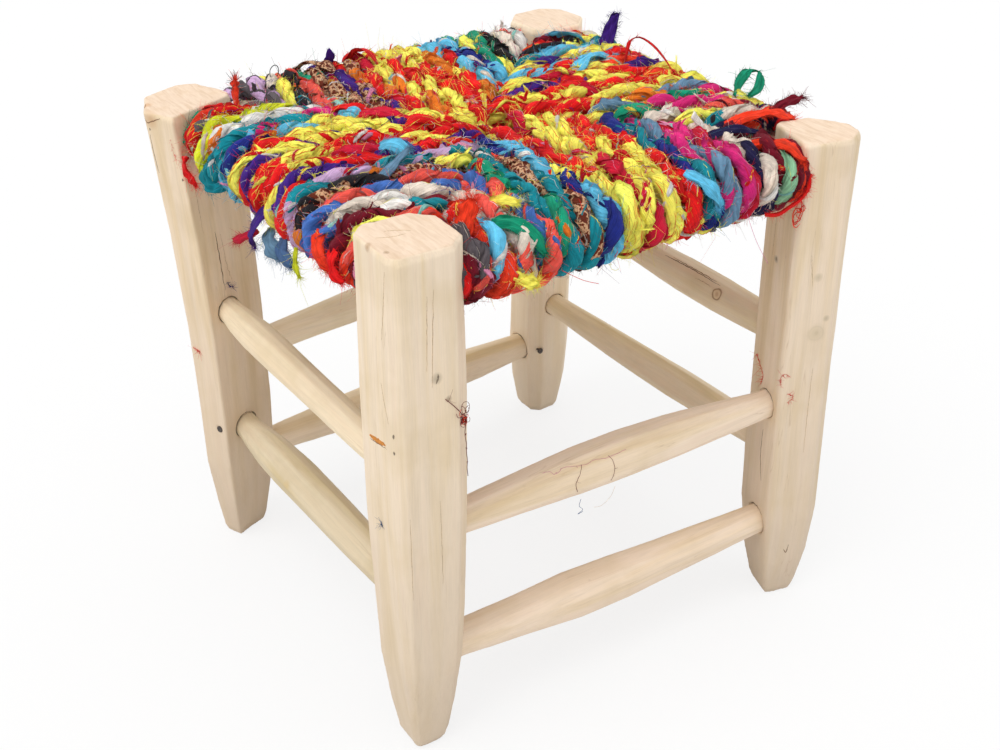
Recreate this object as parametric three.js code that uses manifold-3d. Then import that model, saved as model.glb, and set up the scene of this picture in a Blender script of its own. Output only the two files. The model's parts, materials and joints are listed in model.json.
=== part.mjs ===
// A low four-legged stool: hewn legs, whittled stretchers and a seat wound from one thick rope.
// Millimetres, +Z up, the front towards -Y, the floor at Z = 0.

import * as THREE from 'three';
import { mergeVertices } from 'three/addons/utils/BufferGeometryUtils.js';
import Module from 'manifold-3d';

const wasm = await Module();
wasm.setup();

// Driving sizes of the frame
const legHeight = 360; // floor to the top of an average leg
const spanX = 300.6; // axis of a left leg to axis of a right leg
const spanY = 296.2; // axis of a front leg to axis of a back leg
const legFace = 25.5; // a leg's axis to a broad hewn face
const legDrift = 9; // the most that a leg strays from its corner
const bevelHeight = 4.5; // chamfer cut round the top of a leg
const seatDrop = 20; // top of an average leg to the axes of the seat rails

// Driving sizes of the bars and their joints
const tenonRadius = 10.8; // a stretcher's round ends
const bellyRadius = 14.7; // a stretcher's thickest part
const bellyBow = 4.5; // the most that a stretcher bends
const railRadius = 8.6; // seat rail, under the rope
const railTenonRadius = 7.8;
const tenonTip = 3; // tip of a stretcher's tenon to the leg's axis
const railTenonTip = 10.2; // tip of a rail's tenon to the leg's axis, clear of the other rail
const tenonChamfer = 1.5;
const roundEnd = 2.5; // how far a stretcher stays round outside its leg
const thinEnd = 6.5; // how far a rail stays thin outside its leg
const fitGap = 0.3; // round a tenon in its mortise and a nail in its hole
const overrun = 20; // how far a cutter reaches past the face that it opens

// Driving sizes of the nails
const nailRadius = 1.1;
const nailHeadRadius = 2.6;
const nailHeadThickness = 1.4;
const nailProud = 0.5; // head above the hewn face
const nailLength = 30;

// Driving sizes of the rope
const ropeRadius = 6.05; // where it shows
const ropeLayGap = 0.4; // rope to rail
const ropeTurnGap = 1.3; // least room between two turns on a rail
const legRopeGap = 3.4; // leg to the first turn of rope

const tau = Math.PI * 2;
const lerp = THREE.MathUtils.lerp;

// Legs. Eight faces each, counted anticlockwise from +X.
const stationShares = [0, 0.016, 0.09, 0.2, 0.32, 0.53, 0.74, 0.93];
const legs = {
  front_left: {
    side: [-1, -1],
    heightShare: 1.022,
    driftShares: [[-0.11, 0.74], [0.06, 0.43], [0.18, 0.14]],
    turnShare: -0.05,
    bevelShare: 0.69,
    faceShares: [0.99, 1.09, 1, 1.15, 0.955, 1.244, 1.007, 1.1],
    girthShares: [0.43, 0.55, 0.71, 0.89, 0.96, 1.03, 1.05, 1],
    colour: 0xe3cda9,
  },
  front_right: {
    side: [1, -1],
    heightShare: 1.004,
    driftShares: [[-0.09, -0.86], [-0.11, -0.34], [0.1, -0.08]],
    turnShare: -0.361,
    bevelShare: 0.93,
    faceShares: [1.066, 0.84, 0.97, 1.157, 0.84, 1.196, 0.955, 1.066],
    girthShares: [0.5, 0.6, 0.8, 0.94, 0.94, 0.93, 0.92, 0.93],
    colour: 0xdfcaa6,
  },
  back_right: {
    side: [1, 1],
    heightShare: 1.006,
    driftShares: [[-0.01, 1], [0, 0.46], [0, -0.08]],
    turnShare: 0.05,
    bevelShare: 0.6,
    faceShares: [1.04, 1.15, 1.1, 1.1, 0.99, 1.08, 0.98, 1.05],
    girthShares: [0.54, 0.66, 0.83, 0.92, 0.9, 0.95, 0.98, 1],
    colour: 0xe0cba8,
  },
  back_left: {
    side: [-1, 1],
    heightShare: 0.993,
    driftShares: [[-0.06, -0.77], [0.61, -0.69], [-0.07, -0.12]],
    turnShare: 0.5,
    bevelShare: 0.72,
    faceShares: [0.99, 1.25, 1.16, 1.15, 1.25, 1.3, 0.62, 0.99],
    girthShares: [0.52, 0.6, 0.76, 0.94, 0.98, 1, 1.04, 1.07],
    colour: 0xe2cca6,
  },
};

// The leg's axis at a height above the floor: one bend through its foot, middle and top.
function legAxis(corner, height) {
  const { side, driftShares: [foot, middle, top] } = legs[corner];
  const share = height / legHeight;
  const drift = (axis) => legDrift * (foot[axis] * (1 - share) * (1 - 2 * share)
    + middle[axis] * 4 * share * (1 - share) + top[axis] * share * (2 * share - 1));
  return new THREE.Vector3(side[0] * spanX / 2 + drift(0), side[1] * spanY / 2 + drift(1), height);
}

function legGirth(corner, height) {
  const { girthShares } = legs[corner];
  const share = Math.min(height / legHeight, stationShares.at(-1));
  const next = Math.max(1, stationShares.findIndex((station) => station >= share));
  const part = (share - stationShares[next - 1]) / (stationShares[next] - stationShares[next - 1]);
  return lerp(girthShares[next - 1], girthShares[next], part);
}

// A hewn face of the leg at a height: its outward angle and its distance from the axis.
function legFacet(corner, face, height) {
  const { faceShares, turnShare } = legs[corner];
  const sides = faceShares.length;
  const angle = (face + turnShare) / sides * tau;
  return { angle, distance: legFace * faceShares[face % sides] * legGirth(corner, height) };
}

// Where two neighbouring faces meet, from the axis.
function arris(first, second) {
  const turn = Math.sin(second.angle - first.angle);
  const x = (first.distance * Math.sin(second.angle) - second.distance * Math.sin(first.angle)) / turn;
  const y = (second.distance * Math.cos(first.angle) - first.distance * Math.cos(second.angle)) / turn;
  return new THREE.Vector3(x, y, 0);
}

// Rings of as many points each, joined into one closed body with flat ends.
function loft(rings) {
  const sides = rings[0].length;
  const index = [];
  for (let ring = 0; ring + 1 < rings.length; ring++) {
    for (let side = 0; side < sides; side++) {
      const a = ring * sides + side;
      const b = ring * sides + (side + 1) % sides;
      index.push(a, b, b + sides, a, b + sides, a + sides);
    }
  }
  const last = (rings.length - 1) * sides;
  for (let side = 1; side + 1 < sides; side++) {
    index.push(0, side + 1, side);
    index.push(last, last + side, last + side + 1);
  }
  const geometry = new THREE.BufferGeometry().setFromPoints(rings.flat());
  geometry.setIndex(index);
  return geometry;
}

function solid(geometry) {
  const merged = mergeVertices(geometry);
  return new wasm.Manifold(new wasm.Mesh({
    numProp: 3,
    vertProperties: new Float32Array(merged.attributes.position.array),
    triVerts: new Uint32Array(merged.index.array),
  }));
}

function geometryOf(body) {
  const mesh = body.getMesh();
  const geometry = new THREE.BufferGeometry();
  geometry.setAttribute('position', new THREE.BufferAttribute(mesh.vertProperties, mesh.numProp));
  geometry.setIndex(new THREE.BufferAttribute(mesh.triVerts, 1));
  geometry.computeVertexNormals();
  return geometry;
}

function cut(geometry, cutters) {
  return geometryOf(cutters.reduce((body, cutter) => body.subtract(solid(cutter)), solid(geometry)));
}

// The leg's faces run through every station; the top is chamfered, most towards its bevel.
const bevelLeastShare = 0.35; // chamfer on the side away from the bevel
const crownShare = 0.94; // flat of the top, of the leg's girth

function legGeometry(corner) {
  const leg = legs[corner];
  const sides = leg.faceShares.length;
  const top = legHeight * leg.heightShare;
  const section = (height, girthShare, drop) => {
    const centre = legAxis(corner, height);
    return leg.faceShares.map((_, face) => {
      const point = arris(legFacet(corner, face, height), legFacet(corner, face + 1, height));
      point.multiplyScalar(girthShare).add(centre);
      point.z -= drop((face + 0.5) / sides - leg.bevelShare);
      return point;
    });
  };
  const level = () => 0;
  const bevel = (turn) => bevelHeight * lerp(bevelLeastShare, 1, Math.max(0, Math.cos(turn * tau)));
  const rings = stationShares.map((share) => section(legHeight * share, 1, level));
  rings.push(section(top, 1, bevel), section(top, crownShare, level));
  return loft(rings);
}

// Bars between two legs. A bar's stations go from one leg's axis to the other's.
const barSides = 12;
const barShoulder = legFace + roundEnd;
const railShoulder = legFace + thinEnd;
const seatHeight = legHeight - seatDrop;
const swellShares = [0.08, 0.2, 0.36, 0.52, 0.68, 0.82, 0.93];
const swellPower = 0.8; // how soon a stretcher's round ends turn into flats
const squareShare = 0.85; // how far its section goes from round to square
const cornerShare = 1.13; // the most that its corners reach, of its flats

// A bar may pass to one side of the legs' axes.
function barFrame(bar) {
  const start = legAxis(bar.from, bar.heights[0]);
  const end = legAxis(bar.to, bar.heights[1]);
  const aside = new THREE.Vector3(0, 0, 1).cross(end.clone().sub(start)).normalize();
  start.addScaledVector(aside, bar.asides[0]);
  end.addScaledVector(aside, bar.asides[1]);
  const forward = end.clone().sub(start);
  const length = forward.length();
  forward.normalize();
  const across = new THREE.Vector3(0, 0, 1).cross(forward).normalize();
  const up = forward.clone().cross(across);
  return { start, forward, across, up, length, turn: bar.turn };
}

function barRing(frame, along, radius, lift, depthOf) {
  const centre = frame.start.clone().addScaledVector(frame.forward, along);
  centre.addScaledVector(frame.up, lift);
  return Array.from({ length: barSides }, (_, side) => {
    const angle = side / barSides * tau + frame.turn;
    const reach = radius * depthOf(side / barSides * tau);
    return centre.clone()
      .addScaledVector(frame.across, reach * Math.cos(angle))
      .addScaledVector(frame.up, reach * Math.sin(angle));
  });
}

const round = () => 1;

// Four flats with their corners taken off, fading out towards the round ends.
const hewn = (swell) => (angle) => {
  const square = 1 / Math.max(Math.abs(Math.cos(angle)), Math.abs(Math.sin(angle)));
  return lerp(1, Math.min(square, cornerShare), squareShare * swell);
};

// Round ends for the mortises, and between the legs a whittled barrel.
function stretcherGeometry(bar) {
  const frame = barFrame(bar);
  const [startRadius, endRadius] = bar.tenonRadii;
  const rings = [];
  const addRound = (along, radius) => rings.push(barRing(frame, along, radius, 0, round));
  addRound(tenonTip, startRadius - tenonChamfer);
  addRound(tenonTip + tenonChamfer, startRadius);
  addRound(barShoulder, startRadius);
  const free = frame.length - 2 * barShoulder;
  swellShares.forEach((share, station) => {
    const radius = bellyRadius * bar.girthShares[station];
    const lift = bellyBow * bar.bowShare * Math.sin(Math.PI * share);
    const depthOf = hewn(Math.sin(Math.PI * share) ** swellPower);
    rings.push(barRing(frame, barShoulder + free * share, radius, lift, depthOf));
  });
  addRound(frame.length - barShoulder, endRadius);
  addRound(frame.length - tenonTip - tenonChamfer, endRadius);
  addRound(frame.length - tenonTip, endRadius - tenonChamfer);
  return loft(rings);
}

// A seat rail is a straight round stick, thinned where it enters the legs.
function railGeometry(bar) {
  const frame = barFrame(bar);
  const rings = [];
  const addRound = (along, radius) => rings.push(barRing(frame, along, radius, 0, round));
  addRound(railTenonTip, railTenonRadius - tenonChamfer);
  addRound(railTenonTip + tenonChamfer, railTenonRadius);
  addRound(railShoulder, railTenonRadius);
  addRound(railShoulder + tenonChamfer, railRadius);
  addRound(frame.length - railShoulder - tenonChamfer, railRadius);
  addRound(frame.length - railShoulder, railTenonRadius);
  addRound(frame.length - railTenonTip - tenonChamfer, railTenonRadius);
  addRound(frame.length - railTenonTip, railTenonRadius - tenonChamfer);
  return loft(rings);
}

// The hole for one end of a bar: its outline with the fit gap all round.
function mortise(bar, corner) {
  const frame = barFrame(bar);
  const atStart = bar.from === corner;
  const radius = bar.tenonRadii[atStart ? 0 : 1] + fitGap / Math.cos(tau / 2 / barSides);
  const place = (distance) => (atStart ? distance : frame.length - distance);
  const floor = place(bar.tip - fitGap);
  const mouth = place(legFace + overrun);
  const rings = [floor, mouth].sort((a, b) => a - b)
    .map((along) => barRing(frame, along, radius, 0, round));
  return loft(rings);
}

// Name, from, to, then shares: heights, of a leg's; asides, of a hewn face's distance; tenons;
// girths at the stations; bow; and the turn of the knife's flats, an angle.
const stretcherShares = [
  ['left_upper', 'front_left', 'back_left', [0.564, 0.567], [0.02, 0.25], [0.9, 0.88],
    [0.66, 0.7, 0.72, 0.73, 0.76, 0.79, 0.74], 0.22, 0.6],
  ['left_lower', 'front_left', 'back_left', [0.309, 0.283], [0.02, 0.1], [1.06, 0.91],
    [0.82, 0.85, 0.88, 0.9, 0.93, 0.9, 0.78], 0.33, 0.7],
  ['front_upper', 'front_left', 'front_right', [0.468, 0.458], [0, 0], [1, 0.94],
    [0.79, 0.85, 0.95, 0.98, 0.93, 0.82, 0.74], 0.7, -0.15],
  ['front_lower', 'front_left', 'front_right', [0.197, 0.184], [0, 0], [1.1, 1.04],
    [0.86, 0.91, 1.03, 0.99, 0.88, 0.82, 0.77], -0.45, 0.1],
  ['right_upper', 'front_right', 'back_right', [0.587, 0.605], [0, 0], [1.08, 0.88],
    [0.82, 0.85, 0.82, 0.73, 0.68, 0.66, 0.65], -0.44, 0.2],
  ['right_lower', 'front_right', 'back_right', [0.334, 0.314], [0, 0], [1.01, 0.9],
    [0.78, 0.82, 0.85, 0.8, 0.75, 0.71, 0.67], -0.33, 0.5],
  ['back_upper', 'back_left', 'back_right', [0.436, 0.475], [0, 0], [1, 0.98],
    [0.73, 0.76, 0.83, 0.88, 0.88, 0.82, 0.75], 0.5, 0.1],
  ['back_lower', 'back_left', 'back_right', [0.19, 0.191], [0, 0], [0.98, 1.06],
    [0.78, 0.86, 0.94, 0.97, 0.95, 0.9, 0.82], -0.1, -0.2],
];

const stretchers = stretcherShares.map(
  ([name, from, to, heightShares, asideShares, tenonShares, girthShares, bowShare, turn]) => ({
    name: `stretcher_${name}`,
    from,
    to,
    heights: heightShares.map((share) => legHeight * share),
    asides: asideShares.map((share) => legFace * share),
    tip: tenonTip,
    tenonRadii: tenonShares.map((share) => tenonRadius * share),
    girthShares,
    bowShare,
    turn,
  }),
);

const rails = [
  ['front', 'front_left', 'front_right'],
  ['back', 'back_left', 'back_right'],
  ['left', 'front_left', 'back_left'],
  ['right', 'front_right', 'back_right'],
].map(([name, from, to]) => ({
  name: `seat_rail_${name}`,
  from,
  to,
  heights: [seatHeight, seatHeight],
  asides: [0, 0],
  turn: 0,
  tip: railTenonTip,
  tenonRadii: [railTenonRadius, railTenonRadius],
}));

// Nails, each driven through a leg's face and across a stretcher's tenon.
const nailSides = 8;
const nails = [
  {
    name: 'nail_back_left',
    corner: 'back_left',
    bar: 'stretcher_left_lower',
    face: 4,
    alongShare: 0.42, // from the leg's axis towards the stretcher, of a hewn face's distance
    liftShare: 0.5, // above the stretcher's axis, of its tenon
  },
  {
    name: 'nail_back_right',
    corner: 'back_right',
    bar: 'stretcher_back_lower',
    face: 6,
    alongShare: 0.64,
    liftShare: 0.25,
  },
];

// The nail's line: a point on the hewn face and the way in.
function nailFrame(nail) {
  const bar = stretchers.find((stretcher) => stretcher.name === nail.bar);
  const { start, forward, length } = barFrame(bar);
  const along = legFace * nail.alongShare;
  const centre = start.clone().addScaledVector(forward, bar.from === nail.corner ? along : length - along);
  centre.z += tenonRadius * nail.liftShare;
  const facet = legFacet(nail.corner, nail.face, centre.z);
  const out = new THREE.Vector3(Math.cos(facet.angle), Math.sin(facet.angle), 0);
  const offset = centre.clone().sub(legAxis(nail.corner, centre.z)).dot(out);
  return { face: centre.addScaledVector(out, facet.distance - offset), inward: out.negate() };
}

// A stepped round body on the nail's line, from profile pairs of depth and radius.
function nailBody(nail, profile) {
  const { face, inward } = nailFrame(nail);
  const across = new THREE.Vector3(0, 0, 1).cross(inward).normalize();
  const up = inward.clone().cross(across);
  return loft(profile.map(([depth, radius]) => Array.from({ length: nailSides }, (_, side) => {
    const angle = side / nailSides * tau;
    return face.clone()
      .addScaledVector(inward, depth)
      .addScaledVector(across, radius * Math.cos(angle))
      .addScaledVector(up, radius * Math.sin(angle));
  })));
}

function nailGeometry(nail) {
  const seat = nailHeadThickness - nailProud;
  return nailBody(nail, [
    [-nailProud, nailHeadRadius],
    [seat, nailHeadRadius],
    [seat, nailRadius],
    [nailLength, nailRadius],
  ]);
}

function nailHole(nail) {
  const seat = nailHeadThickness - nailProud + fitGap;
  return nailBody(nail, [
    [-overrun, nailHeadRadius + fitGap],
    [seat, nailHeadRadius + fitGap],
    [seat, nailRadius + fitGap],
    [nailLength + fitGap, nailRadius + fitGap],
  ]);
}

// Seat rope. It is laid corner by corner, each corner in its own axes: u runs along the first
// rail from the second rail's axis, v runs inwards from the first rail's axis.
const seatCorners = [
  { at: (u, v) => [u - spanX / 2, v - spanY / 2], along: spanX, inward: spanY },
  { at: (u, v) => [spanX / 2 - v, u - spanY / 2], along: spanY, inward: spanX },
  { at: (u, v) => [spanX / 2 - u, spanY / 2 - v], along: spanX, inward: spanY },
  { at: (u, v) => [v - spanX / 2, spanY / 2 - u], along: spanY, inward: spanX },
];
const wrapSteps = 4; // points of a half turn round a rail, less one
const squeezeShare = 0.57; // the rope inside the seat, where its strands press together
const squeezedRadius = ropeRadius * squeezeShare;
const middleRadius = (ropeRadius + squeezedRadius) / 2;
const layRadius = (railRadius + ropeLayGap + ropeRadius) / Math.cos(tau / 4 / wrapSteps);
const firstTurn = legFace + legRopeGap + ropeRadius;
const roomX = spanX - 2 * firstTurn;
const roomY = spanY - 2 * firstTurn;
// Rounds of the seat, each crossing all four corners
const rounds = Math.floor(Math.min(roomX, roomY) / 2 / (2 * ropeRadius + ropeTurnGap));
// Each corner lies a quarter of a round further in than the corner before it.
const cornerStep = 1 / seatCorners.length;
const ropePitch = Math.min(roomX / (2 * rounds + cornerStep), roomY / (2 * rounds - cornerStep));
const turnPlace = (round) => firstTurn + ropePitch * round;

// Turns on a rail are spread so that the two corners' turns meet in its middle.
function railPlace(round, length, lastSum) {
  return firstTurn + round * (length - 2 * firstTurn) / (lastSum + 1);
}

// How far a strand gives way to its neighbours, of the pitch
const giveShare = 0.15;
// Shorter runs between two corners leave out points, so that the last strands go straight.
const runShares = { shortest: 0.9, short: 1.85, long: 4.4 };

function seatRoute() {
  const route = [];
  const corners = seatCorners.length;
  const turns = corners * rounds;
  const give = giveShare * ropePitch;
  const lastRound = (turn) => rounds - 1 + (turn % corners) * cornerStep;
  for (let turn = 0; turn < turns; turn++) {
    const corner = seatCorners[turn % corners];
    const round = turn * cornerStep;
    const place = turnPlace(round);
    const step = (share) => place + share * ropePitch;
    // The first rail is shared with the next corner, the second with the corner before.
    const firstSum = lastRound(turn) + lastRound(turn + 1);
    const secondSum = lastRound(turn) + lastRound(turn + corners - 1);
    const firstRail = railPlace(round, corner.along, firstSum);
    const secondRail = railPlace(round, corner.inward, secondSum);
    const add = (u, v, level, radius) => {
      const [x, y] = corner.at(u, v);
      route.push({ point: new THREE.Vector3(x, y, seatHeight + level * layRadius), radius });
    };
    const wrap = (addAt) => {
      for (let step = 0; step <= wrapSteps; step++) {
        const angle = tau / 4 + tau / 2 * step / wrapSteps;
        addAt(layRadius * Math.cos(angle), Math.sin(angle));
      }
    };
    // The free run from the last corner's crossing to this one's, and on to the next one's, in pitches
    const arriving = (corner.inward - place - turnPlace(round - cornerStep)) / ropePitch;
    const leaving = (corner.along - place - turnPlace(round + cornerStep)) / ropePitch;
    // Arriving in the middle of the seat, under the strand that will cross it, then up to the rail
    if (arriving > runShares.long) add(place, step(1.3), 0, squeezedRadius);
    if (arriving > runShares.shortest) add(place - 0.6 * give, step(0.15), 0.26, squeezedRadius);
    add(place - give, step(-0.4), 0.36, squeezedRadius);
    add(place + 0.2 * give, step(-0.8), 0.76, middleRadius);
    add(place + 0.45 * give, step(-1.2), 1, ropeRadius);
    wrap((out, level) => add(firstRail, out, level, ropeRadius));
    // Along the bottom, up between the strands, and over the rope's own arriving strand
    add(place + 0.2 * give, step(-1.2), -1, ropeRadius);
    add(step(0.22), step(-0.84), -0.75, middleRadius);
    add(step(0.54), step(-0.5), -0.05, squeezedRadius);
    add(step(0.48), step(-0.22), 0.6, squeezedRadius);
    add(step(0.06), place, 1, middleRadius);
    add(step(-0.9), place, 1, ropeRadius);
    wrap((out, level) => add(out, secondRail, level, ropeRadius));
    add(step(-1.1), place, -1, ropeRadius);
    if (turn === turns - 1) break;
    // Leaving along the bottom and up into the middle of the seat
    add(step(-0.6), place + 0.2 * give, -0.72, middleRadius);
    add(step(-0.1), place + 0.7 * give, -0.42, squeezedRadius);
    if (leaving > runShares.shortest) add(step(0.55), place + give, -0.1, squeezedRadius);
    if (leaving > runShares.short) add(step(1.3), place - 0.8 * give, 0, squeezedRadius);
    if (leaving > runShares.long) add(step(2.2), place, 0, squeezedRadius);
  }
  return route;
}

// A tube through the route's points, turned as little as the route allows.
const ropeSides = 5;

function tubeGeometry(route) {
  const tangents = route.map((_, i) => {
    const before = route[Math.max(0, i - 1)].point;
    const after = route[Math.min(route.length - 1, i + 1)].point;
    return after.clone().sub(before).normalize();
  });
  const normal = new THREE.Vector3(0, 0, 1);
  const rings = route.map(({ point, radius }, i) => {
    normal.addScaledVector(tangents[i], -normal.dot(tangents[i])).normalize();
    const binormal = tangents[i].clone().cross(normal);
    return Array.from({ length: ropeSides }, (_, side) => {
      const angle = side / ropeSides * tau;
      return point.clone()
        .addScaledVector(normal, radius * Math.cos(angle))
        .addScaledVector(binormal, radius * Math.sin(angle));
    });
  });
  return loft(rings);
}

// The least gap of the rope to itself, measured between points along it. Points that lie within
// a few radii of each other along the rope are the same stretch.
const sampleShare = 0.25; // spacing of the points, of the rope's radius
const stretchShare = 5; // length of one stretch, of the rope's radius
const cellShare = 2.5; // size of a cell that sorts the points, of the rope's radius

function ropeSamples(route) {
  const samples = [];
  let walked = 0;
  for (let i = 0; i + 1 < route.length; i++) {
    const { point, radius } = route[i];
    const next = route[i + 1];
    const length = point.distanceTo(next.point);
    const count = Math.ceil(length / (ropeRadius * sampleShare));
    for (let j = 0; j < count; j++) {
      samples.push({
        point: point.clone().lerp(next.point, j / count),
        radius: lerp(radius, next.radius, j / count),
        walked: walked + length * j / count,
      });
    }
    walked += length;
  }
  return { samples, length: walked };
}

function leastGap(samples) {
  const cells = new Map();
  const shifts = [-1, 0, 1];
  const neighbours = shifts.flatMap((x) => shifts.flatMap((y) => shifts.map((z) => [x, y, z])));
  let least = Infinity;
  for (const sample of samples) {
    const cell = sample.point.toArray().map((value) => Math.floor(value / (ropeRadius * cellShare)));
    for (const shift of neighbours) {
      for (const other of cells.get(cell.map((value, axis) => value + shift[axis]).join()) ?? []) {
        if (sample.walked - other.walked < ropeRadius * stretchShare) continue;
        const gap = sample.point.distanceTo(other.point) - sample.radius - other.radius;
        least = Math.min(least, gap);
      }
    }
    const key = cell.join();
    if (!cells.has(key)) cells.set(key, []);
    cells.get(key).push(sample);
  }
  return least;
}

// Assembly
const group = new THREE.Group();

function place(name, geometry, colour, roughness, metalness = 0) {
  geometry.computeVertexNormals();
  const material = new THREE.MeshStandardMaterial({ color: colour, roughness, metalness });
  const mesh = new THREE.Mesh(geometry, material);
  mesh.name = name;
  group.add(mesh);
}

const woodRoughness = 0.75;
for (const corner of Object.keys(legs)) {
  const bars = [...stretchers, ...rails].filter((bar) => bar.from === corner || bar.to === corner);
  const holes = nails.filter((nail) => nail.corner === corner).map(nailHole);
  const mortises = bars.map((bar) => mortise(bar, corner));
  place(`leg_${corner}`, cut(legGeometry(corner), [...mortises, ...holes]), legs[corner].colour,
    woodRoughness);
}
for (const bar of stretchers) {
  const holes = nails.filter((nail) => nail.bar === bar.name).map(nailHole);
  place(bar.name, cut(stretcherGeometry(bar), holes), 0xdcc59f, woodRoughness);
}
for (const bar of rails) place(bar.name, railGeometry(bar), 0xd8c19a, woodRoughness);
for (const nail of nails) place(nail.name, nailGeometry(nail), 0x4a4744, 0.5, 0.9);

const route = seatRoute();
place('seat_rope', tubeGeometry(route), 0xc8442e, 0.9);
const { samples, length: ropeLength } = ropeSamples(route);
console.log(`rope ${ropeLength.toFixed(0)} mm long, least gap to itself ${leastGap(samples).toFixed(2)} mm`);

// The origin is the middle of the whole stool, on the floor.
const box = new THREE.Box3().setFromObject(group);
const middle = box.getCenter(new THREE.Vector3());
group.position.set(-middle.x, -middle.y, 0);

export default group;
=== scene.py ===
import json
import math
import random

import bpy
import numpy as np
from mathutils import Matrix, Vector, noise
from mathutils.bvhtree import BVHTree

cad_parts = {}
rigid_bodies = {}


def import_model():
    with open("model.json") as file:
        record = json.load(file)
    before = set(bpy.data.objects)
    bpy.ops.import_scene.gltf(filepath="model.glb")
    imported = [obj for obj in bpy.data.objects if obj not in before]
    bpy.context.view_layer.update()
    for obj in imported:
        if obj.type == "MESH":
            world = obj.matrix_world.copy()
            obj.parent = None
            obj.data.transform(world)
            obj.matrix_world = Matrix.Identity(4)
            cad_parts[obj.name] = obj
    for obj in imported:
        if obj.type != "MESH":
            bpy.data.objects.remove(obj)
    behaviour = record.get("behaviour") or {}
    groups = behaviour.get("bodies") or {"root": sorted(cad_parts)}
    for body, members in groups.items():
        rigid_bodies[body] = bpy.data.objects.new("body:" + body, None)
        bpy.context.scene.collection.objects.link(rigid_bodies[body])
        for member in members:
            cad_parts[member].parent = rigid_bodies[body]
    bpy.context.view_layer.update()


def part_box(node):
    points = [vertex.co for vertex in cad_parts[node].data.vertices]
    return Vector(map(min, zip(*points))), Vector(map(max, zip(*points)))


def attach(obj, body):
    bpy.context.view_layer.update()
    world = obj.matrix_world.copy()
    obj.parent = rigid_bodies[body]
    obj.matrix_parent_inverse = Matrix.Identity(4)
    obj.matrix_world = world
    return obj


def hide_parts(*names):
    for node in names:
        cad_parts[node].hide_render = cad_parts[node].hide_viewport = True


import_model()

# A low stool of hewn pale wood with a seat of twisted rag rope. Metres throughout; tables of places are in
# millimetres, where they say so.
MM = 0.001
TAU = 2 * math.pi

# Camera, at the photograph's viewing angle
CAMERA_PLACE = (-0.4638, -0.7222, 0.6732)
CAMERA_AZIMUTH = -33.31
CAMERA_ELEVATION = 30.97
CAMERA_ROLL = -0.62
CAMERA_FOCAL_PIXELS = 1357.16
IMAGE_WIDTH_PIXELS = 1000
SENSOR_WIDTH = 36.0
AMBIENT = 0.66

# The seat's route, in the same sizes as the part's source
SPAN_X = 300.6 * MM
SPAN_Y = 296.2 * MM
SEAT_HEIGHT = 340 * MM
RAIL_RADIUS = 8.6 * MM
ROPE_RADIUS = 6.05 * MM
SQUEEZED_RADIUS = 3.45 * MM
LAY_GAP = 0.4 * MM
FIRST_TURN = 34.95 * MM
ROUNDS = 8
WRAP_STEPS = 4
# Ends that stand higher than this are bent over by this share of what they stand above it
STANDING_TOP = 382 * MM
BENT_SHARE = 0.65

# The rope: two plies, each spun from strips of cloth
SAMPLE = 1.4 * MM
LAY_LENGTH = 62 * MM
PLY_OFFSET_SHARE = 0.50
PLY_RADIUS_SHARE = 0.73
STRIP_SIDES = 18
WANDER = 0.8 * MM
CRUMPLE = 0.075

low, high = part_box("seat_rope")
SEAT_CENTRE = Vector(((low[0] + high[0]) / 2, (low[1] + high[1]) / 2, 0))

rng = random.Random(7)
nprng = np.random.default_rng(7)


# Colours of the cloths, as they look in plain light
def srgb(red, green, blue):
    def linear(value):
        value /= 255
        return value / 12.92 if value <= 0.04045 else ((value + 0.055) / 1.055) ** 2.4
    return (linear(red), linear(green), linear(blue), 1.0)


CLOTHS = {
    "red": srgb(230, 26, 28),
    "crimson": srgb(202, 24, 54),
    "maroon": srgb(112, 14, 34),
    "redorange": srgb(240, 62, 34),
    "coral": srgb(238, 88, 76),
    "orange": srgb(232, 122, 34),
    "ochre": srgb(196, 134, 44),
    "yellow": srgb(255, 244, 100),
    "lime": srgb(216, 222, 40),
    "green": srgb(20, 148, 112),
    "lightgreen": srgb(140, 190, 150),
    "mint": srgb(150, 214, 204),
    "teal": srgb(18, 136, 150),
    "lightblue": srgb(98, 190, 226),
    "blue": srgb(70, 112, 188),
    "bluegrey": srgb(104, 140, 168),
    "slateblue": srgb(74, 104, 146),
    "darkblue": srgb(32, 44, 128),
    "navy": srgb(30, 26, 66),
    "purple": srgb(64, 30, 126),
    "lilac": srgb(204, 168, 208),
    "magenta": srgb(216, 40, 120),
    "pink": srgb(230, 142, 178),
    "cream": srgb(228, 214, 198),
    "white": srgb(238, 234, 228),
    "grey": srgb(92, 84, 88),
    "black": srgb(32, 28, 32),
    "print": srgb(104, 42, 24),
}

WOOD_PINK = srgb(236, 214, 190)
WOOD_PALE = srgb(239, 220, 197)
WOOD_CREAM = srgb(233, 212, 182)
WOOD_TAN = srgb(218, 194, 154)
WOOD_STAIN = srgb(214, 192, 154)
WOOD_LINE = srgb(172, 140, 104)
WOOD_END = srgb(224, 200, 176)
# Painted shade, laid on the legs towards their feet
WOOD_FOOT_SHADE = srgb(206, 188, 168)

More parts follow.
